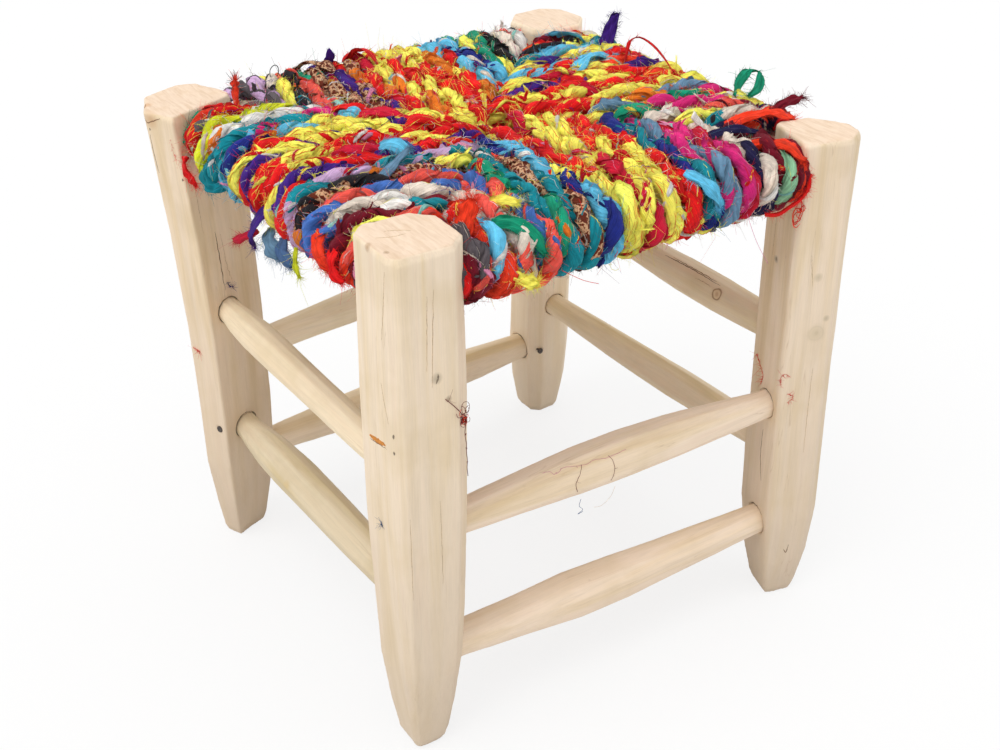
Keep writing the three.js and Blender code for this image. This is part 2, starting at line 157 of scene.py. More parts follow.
# The two cloths of each turn on a rail, from the rail's first corner to its second
FRONT_TURNS = (
    "grey maroon, redorange red, coral cream, blue coral, "
    "green teal, print teal, darkblue lightblue, yellow red, "
    "crimson yellow, yellow red, red yellow, darkblue teal, "
    "magenta bluegrey, crimson magenta, navy cream, lightgreen maroon")
RIGHT_TURNS = (
    "redorange navy, navy cream, yellow maroon, cream coral, "
    "magenta green, bluegrey orange, red yellow, yellow red, "
    "yellow red, purple red, yellow crimson, lightblue red, "
    "purple yellow, lightblue teal, yellow black, red cream")
BACK_TURNS = (
    "red white, cream black, black green, green yellow, "
    "darkblue lightblue, red lightblue, yellow orange, yellow red, "
    "red yellow, crimson yellow, print red, purple print, "
    "green print, coral black, yellow cream, lilac grey")
LEFT_TURNS = (
    "red grey, cream lime, white teal, teal lightblue, "
    "darkblue lightblue, red yellow, purple yellow, yellow red, "
    "red yellow, purple red, teal lilac, black print, "
    "coral blue, blue cream, white maroon, redorange yellow")
RAIL_TURNS = [[pair.split() for pair in turns.split(", ")] for turns in
              (FRONT_TURNS, RIGHT_TURNS, BACK_TURNS, LEFT_TURNS)]
# What else is spun in, from the outer rounds to the inner ones
STRAY_CLOTHS = [row.split() for row in (
    "red grey cream teal coral white maroon redorange",
    "yellow teal lightblue crimson white pink black redorange",
    "yellow coral blue print red mint orange white",
    "teal yellow red lightblue magenta ochre redorange white",
    "yellow red yellow crimson orange lightblue",
    "yellow red redorange crimson orange",
    "yellow red yellow red orange ochre",
    "yellow red yellow crimson redorange",
)]

# How much each cloth's torn edge frays
FRAYED = {"yellow": 1.9, "red": 1.6, "crimson": 1.1, "lime": 1.7, "orange": 1.3, "redorange": 1.6,
          "coral": 1.0, "lightblue": 1.3, "cream": 1.2, "white": 1.2, "pink": 1.0, "print": 1.2}


# Materials. Blender numbers the colour sockets of its Mix node so.
MIX_FIRST, MIX_SECOND, MIX_RESULT = 6, 7, 2


def new_material(name, **settings):
    material = bpy.data.materials.new(name)
    material.use_nodes = True
    tree = material.node_tree
    tree.nodes.clear()
    output = tree.nodes.new("ShaderNodeOutputMaterial")
    shader = tree.nodes.new("ShaderNodeBsdfPrincipled")
    tree.links.new(shader.outputs["BSDF"], output.inputs["Surface"])
    settle(shader, **settings)
    return material, tree, shader


def settle(made, **settings):
    """Sets a node's inputs, each by its name with underscores for spaces."""
    for key, value in settings.items():
        made.inputs[key.replace("_", " ")].default_value = value


def node(tree, kind, **settings):
    made = tree.nodes.new(kind)
    for key, value in settings.items():
        setattr(made, key, value)
    return made


def link(tree, source, target):
    tree.links.new(source, target)


def object_place(tree):
    return node(tree, "ShaderNodeTexCoord").outputs["Object"]


def attribute(tree, name, output="Color"):
    return node(tree, "ShaderNodeAttribute", attribute_name=name).outputs[output]


def feed(tree, sockets, values):
    """Gives each socket its value, or a link where the value is another node's output."""
    for socket, value in zip(sockets, values):
        if isinstance(value, bpy.types.NodeSocket):
            link(tree, value, socket)
        else:
            socket.default_value = value


def math_node(tree, operation, *values):
    made = node(tree, "ShaderNodeMath", operation=operation)
    feed(tree, made.inputs, values)
    return made.outputs[0]


def mix_colour(tree, factor, first, second, blend="MIX"):
    made = node(tree, "ShaderNodeMix", data_type="RGBA", blend_type=blend)
    feed(tree, (made.inputs["Factor"], made.inputs[MIX_FIRST], made.inputs[MIX_SECOND]), (factor, first, second))
    return made.outputs[MIX_RESULT]


def ramp(tree, factor, stops):
    """Colours by factor; each stop has its place and a colour, or a level of grey."""
    made = node(tree, "ShaderNodeValToRGB")
    elements = made.color_ramp.elements
    while len(elements) < len(stops):
        elements.new(0.5)
    for element, (place, colour) in zip(elements, stops):
        element.position = place
        element.color = colour if isinstance(colour, tuple) else grey(colour)
    link(tree, factor, made.inputs[0])
    return made.outputs[0]


def noise_node(tree, vector, scale, detail=4.0, roughness=0.55, distortion=0.0):
    made = node(tree, "ShaderNodeTexNoise")
    settle(made, Scale=scale, Detail=detail, Roughness=roughness, Distortion=distortion)
    link(tree, vector, made.inputs["Vector"])
    return made.outputs["Fac"]


def scaled(tree, vector, scale, place=(0, 0, 0)):
    made = node(tree, "ShaderNodeMapping")
    settle(made, Scale=scale, Location=place)
    link(tree, vector, made.inputs["Vector"])
    return made.outputs[0]


def grey(level):
    return (level, level, level, 1.0)


def bump(tree, shader, layers):
    """Stacks height layers, each a (height, strength, distance) triple, onto the shader."""
    normal = None
    for height, strength, distance in layers:
        made = node(tree, "ShaderNodeBump")
        settle(made, Strength=strength, Distance=distance)
        link(tree, height, made.inputs["Height"])
        if normal is not None:
            link(tree, normal, made.inputs["Normal"])
        normal = made.outputs[0]
    link(tree, normal, shader.inputs["Normal"])


def wood_material(name, along, seed, tone=(1, 1, 1), knots=()):
    """Bare pale wood with its grain along one axis, 0 for X, 1 for Y and 2 for Z."""
    material, tree, shader = new_material(name, Roughness=0.7, Specular_IOR_Level=0.25)
    place = object_place(tree)
    warp = noise_node(tree, place, 60, 3)
    shift = (seed * 1.7, seed * 0.9, seed * 2.3)

    def stretched(share):
        factors = [1.0, 1.0, 1.0]
        factors[along] = share
        return scaled(tree, place, tuple(factors), shift)

    plain_place = scaled(tree, place, (1, 1, 1), shift)
    bands = noise_node(tree, stretched(0.06), 75, 3, 0.5, 0.4)
    growth = noise_node(tree, stretched(0.04), 260, 3, 0.55, 0.5)
    fine = noise_node(tree, stretched(0.03), 1300, 3, 0.6)
    lines = noise_node(tree, stretched(0.035), 210, 2, 0.45, 0.25)
    patches = noise_node(tree, plain_place, 24, 3)
    colour = ramp(tree, bands, [(0.30, WOOD_PINK), (0.47, WOOD_PALE), (0.60, WOOD_CREAM), (0.78, WOOD_TAN)])
    rings = ramp(tree, growth, [(0.34, 0.95), (0.52, 1.0), (0.70, 1.02)])
    colour = mix_colour(tree, 0.9, colour, rings, "MULTIPLY")
    fibre = ramp(tree, fine, [(0.30, 0.92), (0.52, 1.0), (0.75, 1.03)])
    colour = mix_colour(tree, 0.7, colour, fibre, "MULTIPLY")
    stain = ramp(tree, patches, [(0.50, 0.0), (0.78, 0.5)])
    colour = mix_colour(tree, stain, colour, WOOD_STAIN)
    # Legs get painted shade towards their feet
    if along == 2:
        colour = foot_painted_shade(tree, place, patches, colour)
    thin = ramp(tree, lines, [(0.486, 0.0), (0.50, 0.42), (0.514, 0.0)])
    here = ramp(tree, noise_node(tree, stretched(0.3), 42, 2), [(0.52, 0.0), (0.66, 0.7)])
    line = math_node(tree, "MULTIPLY", thin, here)
    colour = mix_colour(tree, line, colour, WOOD_LINE)
    # The piece's tone, which for some pieces is also painted light or painted shade
    colour = mix_colour(tree, 1.0, colour, (*tone, 1.0), "MULTIPLY")
    layers = [(bands, 0.4, 1.0 * MM), (growth, 0.4, 0.35 * MM), (fine, 0.35, 0.25 * MM), (line, -0.5, 0.3 * MM)]
    if along == 2:
        colour, cuts = sawn_end(tree, scaled(tree, place, (1.0, 0.12, 1.0), shift), plain_place, colour)
        layers.append((cuts, 0.45, 0.5 * MM))
    for centre, radius, depth, tint in knots:
        colour, whorl = knot(tree, place, warp, colour, [value * MM for value in centre], radius * MM, depth, tint)
        layers.append((whorl, 0.3 * depth, 0.4 * MM))
    link(tree, colour, shader.inputs["Base Color"])
    bump(tree, shader, layers)
    return material


def foot_painted_shade(tree, place, patches, colour):
    """A leg is painted darker towards its foot: painted shade, where less light reaches low down."""
    height = node(tree, "ShaderNodeSeparateXYZ")
    link(tree, place, height.inputs[0])
    uneven = math_node(tree, "MULTIPLY", math_node(tree, "SUBTRACT", patches, 0.5), 0.12)
    foot_shade_share = ramp(tree, math_node(tree, "ADD", height.outputs["Z"], uneven),
                    [(0.0, 0.75), (0.07, 0.5), (0.24, 0.0)])
    return mix_colour(tree, foot_shade_share, colour, WOOD_FOOT_SHADE)


def sawn_end(tree, stroke_place, plain_place, colour):
    """A leg's sawn ends are paler, with the saw's strokes across them: the colour and the strokes' height."""
    strokes = noise_node(tree, stroke_place, 420, 4, 0.6, 0.5)
    facing = node(tree, "ShaderNodeSeparateXYZ")
    link(tree, node(tree, "ShaderNodeNewGeometry").outputs["Normal"], facing.inputs[0])
    end = ramp(tree, facing.outputs["Z"], [(0.60, 0.0), (0.86, 1.0)])
    mottle = noise_node(tree, plain_place, 90, 4, 0.6)
    sawn = ramp(tree, strokes, [(0.34, srgb(215, 189, 162)), (0.48, WOOD_END), (0.66, srgb(231, 209, 186))])
    dull = ramp(tree, mottle, [(0.52, 0.0), (0.75, 0.4)])
    sawn = mix_colour(tree, dull, sawn, srgb(212, 182, 146))
    return mix_colour(tree, end, colour, sawn), math_node(tree, "MULTIPLY", strokes, end)


def knot(tree, place, warp, colour, centre, radius, depth, tint):
    """A knot: a dark eye and rim, in rings that fade into the wood, or at no depth a faint smudge."""
    dark = (tint[0] * 0.42, tint[1] * 0.36, tint[2] * 0.32, 1.0)
    away = node(tree, "ShaderNodeVectorMath", operation="DISTANCE")
    link(tree, place, away.inputs[0])
    away.inputs[1].default_value = centre
    spread = math_node(tree, "DIVIDE", away.outputs["Value"], radius)
    spread = math_node(tree, "ADD", spread, math_node(tree, "MULTIPLY", warp, 0.7))
    spread = math_node(tree, "SUBTRACT", spread, 0.35)
    rings = math_node(tree, "SINE", math_node(tree, "MULTIPLY", spread, 17.0))
    rings = math_node(tree, "MULTIPLY", math_node(tree, "ADD", rings, 1.0), 0.5)
    near = ramp(tree, spread, [(0.0, 0.8), (0.55, 0.45), (1.0, 0.0)])
    ringed = mix_colour(tree, math_node(tree, "MULTIPLY", rings, depth), tint, WOOD_TAN)
    colour = mix_colour(tree, near, colour, ringed)
    rim = ramp(tree, spread, [(0.54, 0.0), (0.64, 0.85 * depth), (0.76, 0.0)])
    colour = mix_colour(tree, rim, colour, dark)
    eye = ramp(tree, spread, [(0.10, depth), (0.22, 0.0)])
    colour = mix_colour(tree, eye, colour, dark)
    return colour, math_node(tree, "MULTIPLY", rings, near)


def cloth_material():
    """Plain cotton rag: its colour is an attribute, its pleats follow the strip's own twist."""
    material, tree, shader = new_material("rag_cloth", Roughness=0.85, Specular_IOR_Level=0.12,
                                          Sheen_Weight=0.06, Sheen_Roughness=0.5)
    dye, pattern, lay = (attribute(tree, *names) for names in (("dye",), ("printed", "Fac"), ("lay", "Vector")))
    place = object_place(tree)
    pleats = noise_node(tree, scaled(tree, lay, (1, 1, 30)), 2.6, 5, 0.62, 0.4)
    creases = noise_node(tree, scaled(tree, lay, (1, 1, 12)), 8.0, 4, 0.7, 0.3)
    weave = noise_node(tree, place, 1500, 2, 0.5)
    blotch = noise_node(tree, place, 240, 3)
    # The pleats and creases are painted darker in their hollows and lighter on their ridges: painted shade and
    # painted highlight, on top of the bump they give
    shade = ramp(tree, pleats, [(0.34, 0.66), (0.5, 1.0), (0.72, 1.18)])
    colour = mix_colour(tree, 0.7, dye, shade, "MULTIPLY")
    lines = ramp(tree, creases, [(0.36, 0.64), (0.50, 1.02), (0.68, 1.24)])
    colour = mix_colour(tree, 0.6, colour, lines, "MULTIPLY")
    wear = ramp(tree, blotch, [(0.42, 0.93), (0.62, 1.12)])
    colour = mix_colour(tree, 1.0, colour, wear, "MULTIPLY")
    drift = node(tree, "ShaderNodeTexNoise")
    settle(drift, Scale=300)
    link(tree, place, drift.inputs["Vector"])
    warped = node(tree, "ShaderNodeVectorMath", operation="ADD")
    feed(tree, warped.inputs, (place, scaled(tree, drift.outputs["Color"], (8 * MM, 8 * MM, 8 * MM))))
    blots = node(tree, "ShaderNodeTexVoronoi", feature="DISTANCE_TO_EDGE")
    settle(blots, Scale=150)
    link(tree, warped.outputs[0], blots.inputs["Vector"])
    edge = ramp(tree, blots.outputs["Distance"], [(0.05, 0.95), (0.13, 0.0)])
    edge = math_node(tree, "MULTIPLY", edge, pattern)
    colour = mix_colour(tree, edge, colour, srgb(218, 172, 132))
    link(tree, colour, shader.inputs["Base Color"])
    bump(tree, shader, [(pleats, 1.0, 1.4 * MM), (creases, 0.8, 0.5 * MM), (weave, 0.4, 0.25 * MM)])
    return material


def mottled_material(name, scale, detail, stops, **settings):
    """Threads and marks: the colour comes from the piece, mottled."""
    material, tree, shader = new_material(name, **settings)
    tone = ramp(tree, noise_node(tree, object_place(tree), scale, detail), stops)
    link(tree, mix_colour(tree, 1.0, attribute(tree, "dye"), tone, "MULTIPLY"), shader.inputs["Base Color"])
    return material


def nail_material():
    material, tree, shader = new_material("nail_steel", Metallic=0.8)
    patches = noise_node(tree, object_place(tree), 900, 4)
    colour = ramp(tree, patches, [(0.35, srgb(58, 54, 52)), (0.55, srgb(96, 90, 86)), (0.7, srgb(112, 72, 48))])
    link(tree, colour, shader.inputs["Base Color"])
    link(tree, ramp(tree, patches, [(0.3, 0.35), (0.7, 0.7)]), shader.inputs["Roughness"])
    bump(tree, shader, [(patches, 0.4, 0.2 * MM)])
    return material


# Meshes
def mesh_object(name, points, quads, triangles, material):
    mesh = bpy.data.meshes.new(name)
    corners = np.concatenate([quads.ravel(), triangles.ravel()])
    starts = np.concatenate([np.arange(len(quads)) * 4, len(quads) * 4 + np.arange(len(triangles)) * 3])
    mesh.vertices.add(len(points))
    mesh.vertices.foreach_set("co", points.astype(np.float32).ravel())
    mesh.loops.add(len(corners))
    mesh.loops.foreach_set("vertex_index", corners.astype(np.int32))
    mesh.polygons.add(len(starts))
    mesh.polygons.foreach_set("loop_start", starts.astype(np.int32))
    mesh.update(calc_edges=True)
    mesh.shade_smooth()
    made = bpy.data.objects.new(name, mesh)
    bpy.context.scene.collection.objects.link(made)
    mesh.materials.append(material)
    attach(made, "root")
    return made


class Tubes:
    """Gathers closed tubes, from threads to strips of cloth, and makes one mesh of them."""

    # Each value's kind, field and width
    LAYERS = {"dye": ("FLOAT_COLOR", "color", 4), "printed": ("FLOAT", "value", 1),
              "lay": ("FLOAT_VECTOR", "vector", 3)}

    def __init__(self):
        self.points = []
        self.quads = []
        self.triangles = []
        self.values = {}
        self.count = 0

    def add(self, rings, **values):
        """Rings are counted by tube, ring, side and axis, and one tube's by the last three.
        Each value is spread over them."""
        rings = rings[None] if rings.ndim == 3 else rings
        tubes, ring_count, sides, _ = rings.shape
        total = tubes * ring_count * sides
        grid = self.count + np.arange(total).reshape(tubes, ring_count, sides)
        after = np.roll(grid, -1, axis=2)
        quads = np.stack([grid[:, :-1], after[:, :-1], after[:, 1:], grid[:, 1:]], axis=-1)
        self.quads.append(quads.reshape(-1, 4))
        self.points.append(rings.reshape(-1, 3))
        if sides == 3:
            self.triangles += [grid[:, 0, ::-1], grid[:, -1]]
        else:
            caps = total + self.count + np.arange(2 * tubes).reshape(tubes, 2)
            self.points.append(rings[:, (0, -1)].mean(axis=2).reshape(-1, 3))
            for end, ring, rim in ((0, grid[:, 0], after[:, 0]), (1, after[:, -1], grid[:, -1])):
                middle = np.repeat(caps[:, end:end + 1], sides, axis=1)
                self.triangles.append(np.stack([middle, rim, ring], axis=-1).reshape(-1, 3))
        for name, value in values.items():
            value = np.broadcast_to(value, (tubes, ring_count, sides, self.LAYERS[name][2]))
            store = self.values.setdefault(name, [])
            store.append(value.reshape(total, -1))
            if sides > 3:
                store.append(value[:, (0, -1), 0].reshape(2 * tubes, -1))
        self.count += total + (2 * tubes if sides > 3 else 0)

    def build(self, name, material, slot="rag_rope", replaces="seat_rope"):
        points = np.vstack(self.points)
        points[:, 2] -= BENT_SHARE * np.maximum(points[:, 2] - STANDING_TOP, 0)
        made = mesh_object(name, points, np.vstack(self.quads), np.vstack(self.triangles), material)
        for key, store in self.values.items():
            kind, field, _ = self.LAYERS[key]
            layer = made.data.attributes.new(key, kind, "POINT")
            layer.data.foreach_set(field, np.vstack(store).astype(np.float32).ravel())
        if replaces:
            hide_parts(replaces)


def mm(places):
    return np.array(places) * MM


# A direction that no thread follows for long
ASKEW = np.array([0.31, 0.52, 0.79])


def unit(vectors):
    return vectors / np.maximum(np.linalg.norm(vectors, axis=-1, keepdims=True), 1e-12)


def ring_angles(sides):
    return np.arange(sides) / sides * TAU


def direction_at(angle, side_a, side_b):
    """The directions at angles from the first side towards the second."""
    return np.cos(angle)[:, None] * side_a + np.sin(angle)[:, None] * side_b


def shaded(colour, shade):
    """A colour, made darker or lighter by each of the shades."""
    return np.clip(colour * np.stack([shade, shade, shade, np.ones_like(shade)], -1), 0, 1)


def lay_of(turned, along):
    """Where on a strip each point lies: the angle round it, and the way along it."""
    return np.stack([np.cos(turned), np.sin(turned), np.broadcast_to(along[:, None], turned.shape)], -1)


def around(centres, side_a, side_b, reach_a, reach_b, sides):
    """Rings about each centre, wider or narrower along each of its two sides."""
    theta = ring_angles(sides)
    return (centres[..., None, :]
            + (reach_a[..., None] * np.cos(theta))[..., None] * side_a[..., None, :]
            + (reach_b[..., None] * np.sin(theta))[..., None] * side_b[..., None, :])


def waves(places, length, count=3):
    """A smooth random line, about -1 to 1, that wanders over the given length."""
    total = np.zeros_like(places)
    for _ in range(count):
        total += np.sin(places * TAU / (length * rng.uniform(0.6, 1.7)) + rng.uniform(0, TAU))
    return total / count ** 0.5


def threads(tubes, feet, directions, bends, lengths, radii, colours, rings=3):
    """Thin tapered threads, each from its foot along its direction and round its bend."""
    share = np.linspace(0, 1, rings)
    paths = (feet[:, None] + directions[:, None] * (lengths[:, None] * share)[..., None]
             + bends[:, None] * (lengths[:, None] * share ** 2)[..., None])
    girth = radii[:, None] * (1 - 0.6 * share)
    tubes.add(thin_rings(paths, girth), dye=np.reshape(colours, (-1, 1, 1, 4)))


def thin_rings(paths, girth):
    """Three-sided rings along each path of points."""
    ahead = unit(np.gradient(paths, axis=-2))
    side_a = unit(np.cross(ahead, ASKEW))
    return around(paths, side_a, np.cross(ahead, side_a), girth, girth, 3)


def wire(tubes, path, radius, colour):
    tubes.add(thin_rings(path, np.full(len(path), radius)), dye=colour)


def smooth_path(places, count):
    """Places at even shares of a Catmull-Rom curve through the given ones."""
    places = np.asarray(places, dtype=float)
    padded = np.vstack([2 * places[0] - places[1], places, 2 * places[-1] - places[-2]])
    made = []
    for value in np.linspace(0, len(places) - 1 - 1e-9, count):
        index, t = int(value), value % 1
        p0, p1, p2, p3 = padded[index:index + 4]
        made.append(0.5 * (2 * p1 + (p2 - p0) * t + (2 * p0 - 5 * p1 + 4 * p2 - p3) * t * t
                           + (3 * p1 - p0 - 3 * p2 + p3) * t ** 3))
    return np.array(made)


# Wood: each leg and bar is the CAD solid, finely meshed, worn at its edges and scraped by hand
def scrape(point, along, seed, depth):
    stretched = Vector(point)
    stretched[along] *= 0.2
    shift = Vector((seed * 3.1, seed * 1.3, seed * 0.7))
    broad = noise.noise(stretched * 60 + shift)
    stretched[along] *= 0.35
    fine = noise.noise(stretched * 260 + shift)
    rough = noise.noise(Vector(point) * 330 + shift)
    return depth * (broad + 0.4 * fine + 0.16 * rough)


SURFACES = {}
LEG_VOXEL, BAR_VOXEL = 1.05 * MM, 1.0 * MM
LEG_SCRAPES, BAR_SCRAPES = 0.5 * MM, 0.45 * MM


def wooden(name, along, seed, voxel, depth, material):
    """Puts a worn copy in a CAD piece's place, and keeps its surface for the marks."""
    source = bpy.data.objects[name]
    made = source.copy()
    made.data = source.data.copy()
    made.name = name + "_wood"
    bpy.context.scene.collection.objects.link(made)
    remesh = made.modifiers.new("remesh", "REMESH")
    remesh.mode = "VOXEL"
    remesh.voxel_size = voxel
    wear = made.modifiers.new("wear", "SMOOTH")
    wear.factor = 0.5
    wear.iterations = 1
    depsgraph = bpy.context.evaluated_depsgraph_get()
    mesh = bpy.data.meshes.new_from_object(made.evaluated_get(depsgraph))
    made.modifiers.clear()
    made.data = mesh
    mesh.materials.clear()
    mesh.materials.append(material)
    normals = [Vector(vertex.normal) for vertex in mesh.vertices]
    for vertex, normal in zip(mesh.vertices, normals):
        vertex.co += normal * scrape(vertex.co, along, seed, depth)
    mesh.shade_smooth()
    mesh.update()
    SURFACES[name] = BVHTree.FromPolygons([made.matrix_world @ vertex.co for vertex in mesh.vertices],
                                          [polygon.vertices for polygon in mesh.polygons])
    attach(made, "root")
    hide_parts(name)


# Knots in millimetres: centre, radius, depth as a share and colour
KNOTS = {
    "leg_front_left": [
        ((-168, -147, 366), 3.5, 0.1, srgb(176, 138, 104)),
        ((-165, -162, 368), 2.2, 0.1, srgb(160, 128, 98)),
        ((-145, -174, 291), 4.2, 0.0, srgb(178, 162, 138)),
        ((-138, -174.4, 276), 2.6, 0.0, srgb(160, 142, 116)),
    ],
    "leg_front_right": [
        ((135.8, -145.1, 273.7), 3.0, 0.0, srgb(150, 138, 122)),
        ((157, -176, 236), 3, 0.0, srgb(184, 168, 142)),
        ((151, -174.5, 226), 8, 0.1, srgb(208, 190, 160)),
        ((148, -172.6, 268), 4, 0.0, srgb(200, 182, 152)),
    ],
    "leg_back_right": [((130, 118, 150), 4, 0.2, srgb(190, 160, 120))],
    "leg_back_left": [
        ((-171, 142, 256), 3.5, 0.0, srgb(186, 162, 128)),
        ((-179, 136, 352), 7, 0.0, srgb(206, 168, 128)),
        ((-176, 152, 357), 6, 0.0, srgb(206, 160, 116)),
    ],
    "stretcher_right_upper": [((142.5, -83.5, 219), 7.5, 0.9, srgb(190, 146, 104))],
    "stretcher_left_lower": [((-160, 20, 112), 5, 0.0, srgb(206, 180, 132))],
}
# Each piece of wood is a little yellower or pinker than the next, and some are painted darker or lighter for the
# light they stand in: painted shade on the back left leg and the left lower bar, painted light on the back right
# leg and the back upper bar
TONES_AND_PAINTED_LIGHT = {
    "leg_front_left": (1.0, 1.0, 0.98), "leg_front_right": (0.98, 0.97, 0.95),
    "leg_back_left": (0.97, 0.95, 0.91), "leg_back_right": (1.17, 1.18, 1.15),
    "stretcher_left_upper": (1.0, 1.01, 0.93), "stretcher_left_lower": (0.80, 0.81, 0.73),
    "stretcher_front_upper": (1.03, 1.02, 1.02), "stretcher_front_lower": (1.02, 1.0, 1.0),
    "stretcher_right_upper": (1.0, 1.01, 0.95), "stretcher_right_lower": (0.98, 0.98, 0.93),
    "stretcher_back_upper": (1.09, 1.12, 1.07), "stretcher_back_lower": (1.03, 1.02, 0.98),
}
CRACK = srgb(112, 80, 52)
FAINT = srgb(190, 162, 126)
CHIP = srgb(206, 132, 52)
# Dark spots on the wood, and also the painted shade in the joints' gaps
SPOT_AND_JOINT_SHADE = srgb(138, 124, 104)
RUST = srgb(120, 84, 56)
# Marks on each piece of wood, in millimetres: width, colour, then the path
MARKS = {
    "leg_front_left": [
        (0.45, FAINT, [(-169.3, -166.8, 360), (-169.3, -163.7, 342), (-169.6, -160.3, 317)]),
        (0.45, FAINT, [(-170.2, -157.4, 289), (-170.6, -160.1, 277.5), (-171, -164, 266)]),
        (3.6, CHIP, [(-169.8, -138, 244.3), (-170.3, -147.6, 246), (-170.8, -158.7, 248.8)]),
        (0.5, RUST, [(-169.8, -139, 242.5), (-170.3, -148, 244.2), (-170.8, -160, 247)]),
        (1.3, SPOT_AND_JOINT_SHADE, [(-170.4, -168.2, 261), (-170.4, -168.2, 258)]),
        (1.3, SPOT_AND_JOINT_SHADE, [(-170.7, -167.7, 249.4), (-170.3, -168.1, 247.2)]),
        (1.2, SPOT_AND_JOINT_SHADE, [(-144, -174, 294), (-144.2, -174, 290.6), (-145, -174, 288)]),
        (0.4, FAINT, [(-144.8, -174, 345.7), (-146.4, -174, 315.5), (-147.8, -174, 286.5)]),
        (0.35, FAINT, [(-148.7, -174, 342.6), (-150.7, -174, 297.4)]),
        (0.35, FAINT, [(-164.8, -172, 202.5), (-164.6, -170, 141)]),
        (0.35, FAINT, [(-145, -173, 208.3), (-144, -171, 145)]),
        (0.45, FAINT, [(-161, -143, 368), (-153, -147, 368), (-145, -148, 368)]),
        (0.45, FAINT, [(-153, -138, 368), (-147, -141, 368), (-141, -146, 368)]),
    ],
    "leg_back_left": [
        (0.8, CRACK, [(-147, 114, 268), (-146, 114, 248), (-145, 114, 221)]),
        (0.5, FAINT, [(-142, 114, 264), (-139, 114, 241), (-137, 114, 224)]),
        (1.6, SPOT_AND_JOINT_SHADE, [(-171, 116, 314), (-171, 116.5, 312)]),
        (0.55, SPOT_AND_JOINT_SHADE, [(-180, 139.5, 341), (-179.5, 139, 327), (-178, 138, 313)]),
        (0.8, RUST, [(-175, 154, 357.5), (-178.5, 146, 354), (-179.5, 139, 349)]),
        (0.7, RUST, [(-179.5, 141, 349), (-177.5, 134, 352), (-175.5, 127.5, 355)]),
        (1.2, SPOT_AND_JOINT_SHADE, [(-179.7, 138.5, 346), (-179.8, 138.8, 344)]),
        (0.4, FAINT, [(-160, 114, 320), (-159, 114, 270)]),
    ],
    "stretcher_right_upper": [
        (0.6, CRACK, [(143, -20, 230), (143, -35, 231.5), (143, -53, 232.3), (143, -82, 231.9)]),
        (0.45, CRACK, [(143, -28, 234.4), (143, -50, 236), (143, -64, 236.6), (143, -77, 235.5)]),
        (0.45, FAINT, [(143, -58, 222), (143, -68, 223), (143, -76, 222)]),
    ],
    "leg_front_right": [
        (0.9, SPOT_AND_JOINT_SHADE, [(135.8, -145, 275), (135.8, -145.2, 272.5)]),
        (0.6, CRACK, [(133, -152.5, 143.5), (133, -153.3, 122.5), (132, -157.3, 102.5)]),
        (0.4, FAINT, [(141.6, -170.7, 285), (142.8, -171.2, 274.5), (144.5, -172, 262)]),
        (0.7, CRACK, [(144.5, -175, 45.5), (147, -175.3, 42), (148, -176, 49)]),
        (0.35, FAINT, [(151, -175, 199), (150.3, -176.6, 130.5)]),
        (0.35, FAINT, [(137, -140, 330), (137.3, -140, 274.5)]),
    ],
}
RAIL_AXES = {"front": 0, "back": 0, "left": 1, "right": 1}
BARS = [(f"stretcher_{side}_{level}", along) for side, along in RAIL_AXES.items() for level in ("upper", "lower")]
# How far from its end a bar is measured, how far out the casts onto it start, and how thick it is if they miss
JOINT_REACH = 30 * MM
CAST_REACH = 40 * MM
PLAIN_REACH = 11 * MM
# A joint's painted shade line has so many places round the bar, and is left out if fewer than this lie on the leg
RIM_PLACES, RIM_NEEDED = 46, 30


def laid_on(name, path):
    """The nearest places on a piece of wood, and its normals there."""
    found = [SURFACES[name].find_nearest(Vector(place))[:2] for place in path]
    return (np.array(part) for part in zip(*found))


def sliver(tubes, name, width, colour, places):
    """A thin dark mark that lies in the surface of a piece of wood."""
    count = max(8, int(np.linalg.norm(np.diff(places, axis=0), axis=1).sum() / (0.8 * MM)))
    spots, normals = laid_on(name, smooth_path(places, min(count, 60)))
    ahead = unit(np.gradient(spots, axis=0))
    across = unit(np.cross(ahead, normals))
    share = np.linspace(0, 1, len(spots))
    wide = 0.5 * width * np.sqrt(np.sin(math.pi * np.clip(share, 0.03, 0.97))) * (1 + 0.15 * waves(share, 0.2))
    spots = spots + across * (min(0.3 * width, 0.2 * MM) * waves(share, 0.2))[:, None]
    rings = around(spots, across, normals, np.abs(wide), np.full(len(spots), 0.13 * MM), 6)
    tubes.add(rings, dye=colour)


def joint_shade_lines(tubes, bar, along):
    """A dark line round each end of a bar, where it goes into a leg: painted shade for the shadow in the joint's
    gap.
    """
    low, high = (np.array(corner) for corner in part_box(bar))
    middle, half = (low + high) / 2, (high - low)[along] / 2
    skin = SURFACES[bar]
    for sign in (-1, 1):
        axis = np.zeros(3)
        axis[along] = sign
        leg = SURFACES[nearest_leg(middle + axis * half)]
        side_a = np.roll(axis, 1) * sign
        side_b = np.cross(axis, side_a)
        centre = slice_centre(skin, middle + axis * (half - JOINT_REACH), side_a, side_b)
        rim = []
        for angle in np.linspace(0, TAU * 1.02, RIM_PLACES):
            out = math.cos(angle) * side_a + math.sin(angle) * side_b
            skin_hit = skin.ray_cast(Vector(centre + out * CAST_REACH), Vector(-out))[0]
            reach = PLAIN_REACH if skin_hit is None else np.linalg.norm(np.array(skin_hit) - centre)
            start = centre + out * (reach + 0.4 * MM) - axis * 12 * MM
            hit = leg.ray_cast(Vector(start), Vector(axis))[0]
            if hit is not None:
                rim.append(np.array(hit) - out * 0.25 * MM)
        if len(rim) < RIM_NEEDED:
            continue
        rim = np.array(rim)
        ahead = unit(np.gradient(rim, axis=0))
        side = unit(np.cross(ahead, axis))
        girth = 0.22 * MM * np.clip(1 + 0.8 * waves(np.arange(float(len(rim))), 13.0), 0.15, 2.4)
        rings = around(rim, side, np.cross(ahead, side), girth, girth, 6)
        # The line is painted shade: a dark tube where the joint's gap lies in shadow
        tubes.add(rings, dye=SPOT_AND_JOINT_SHADE)


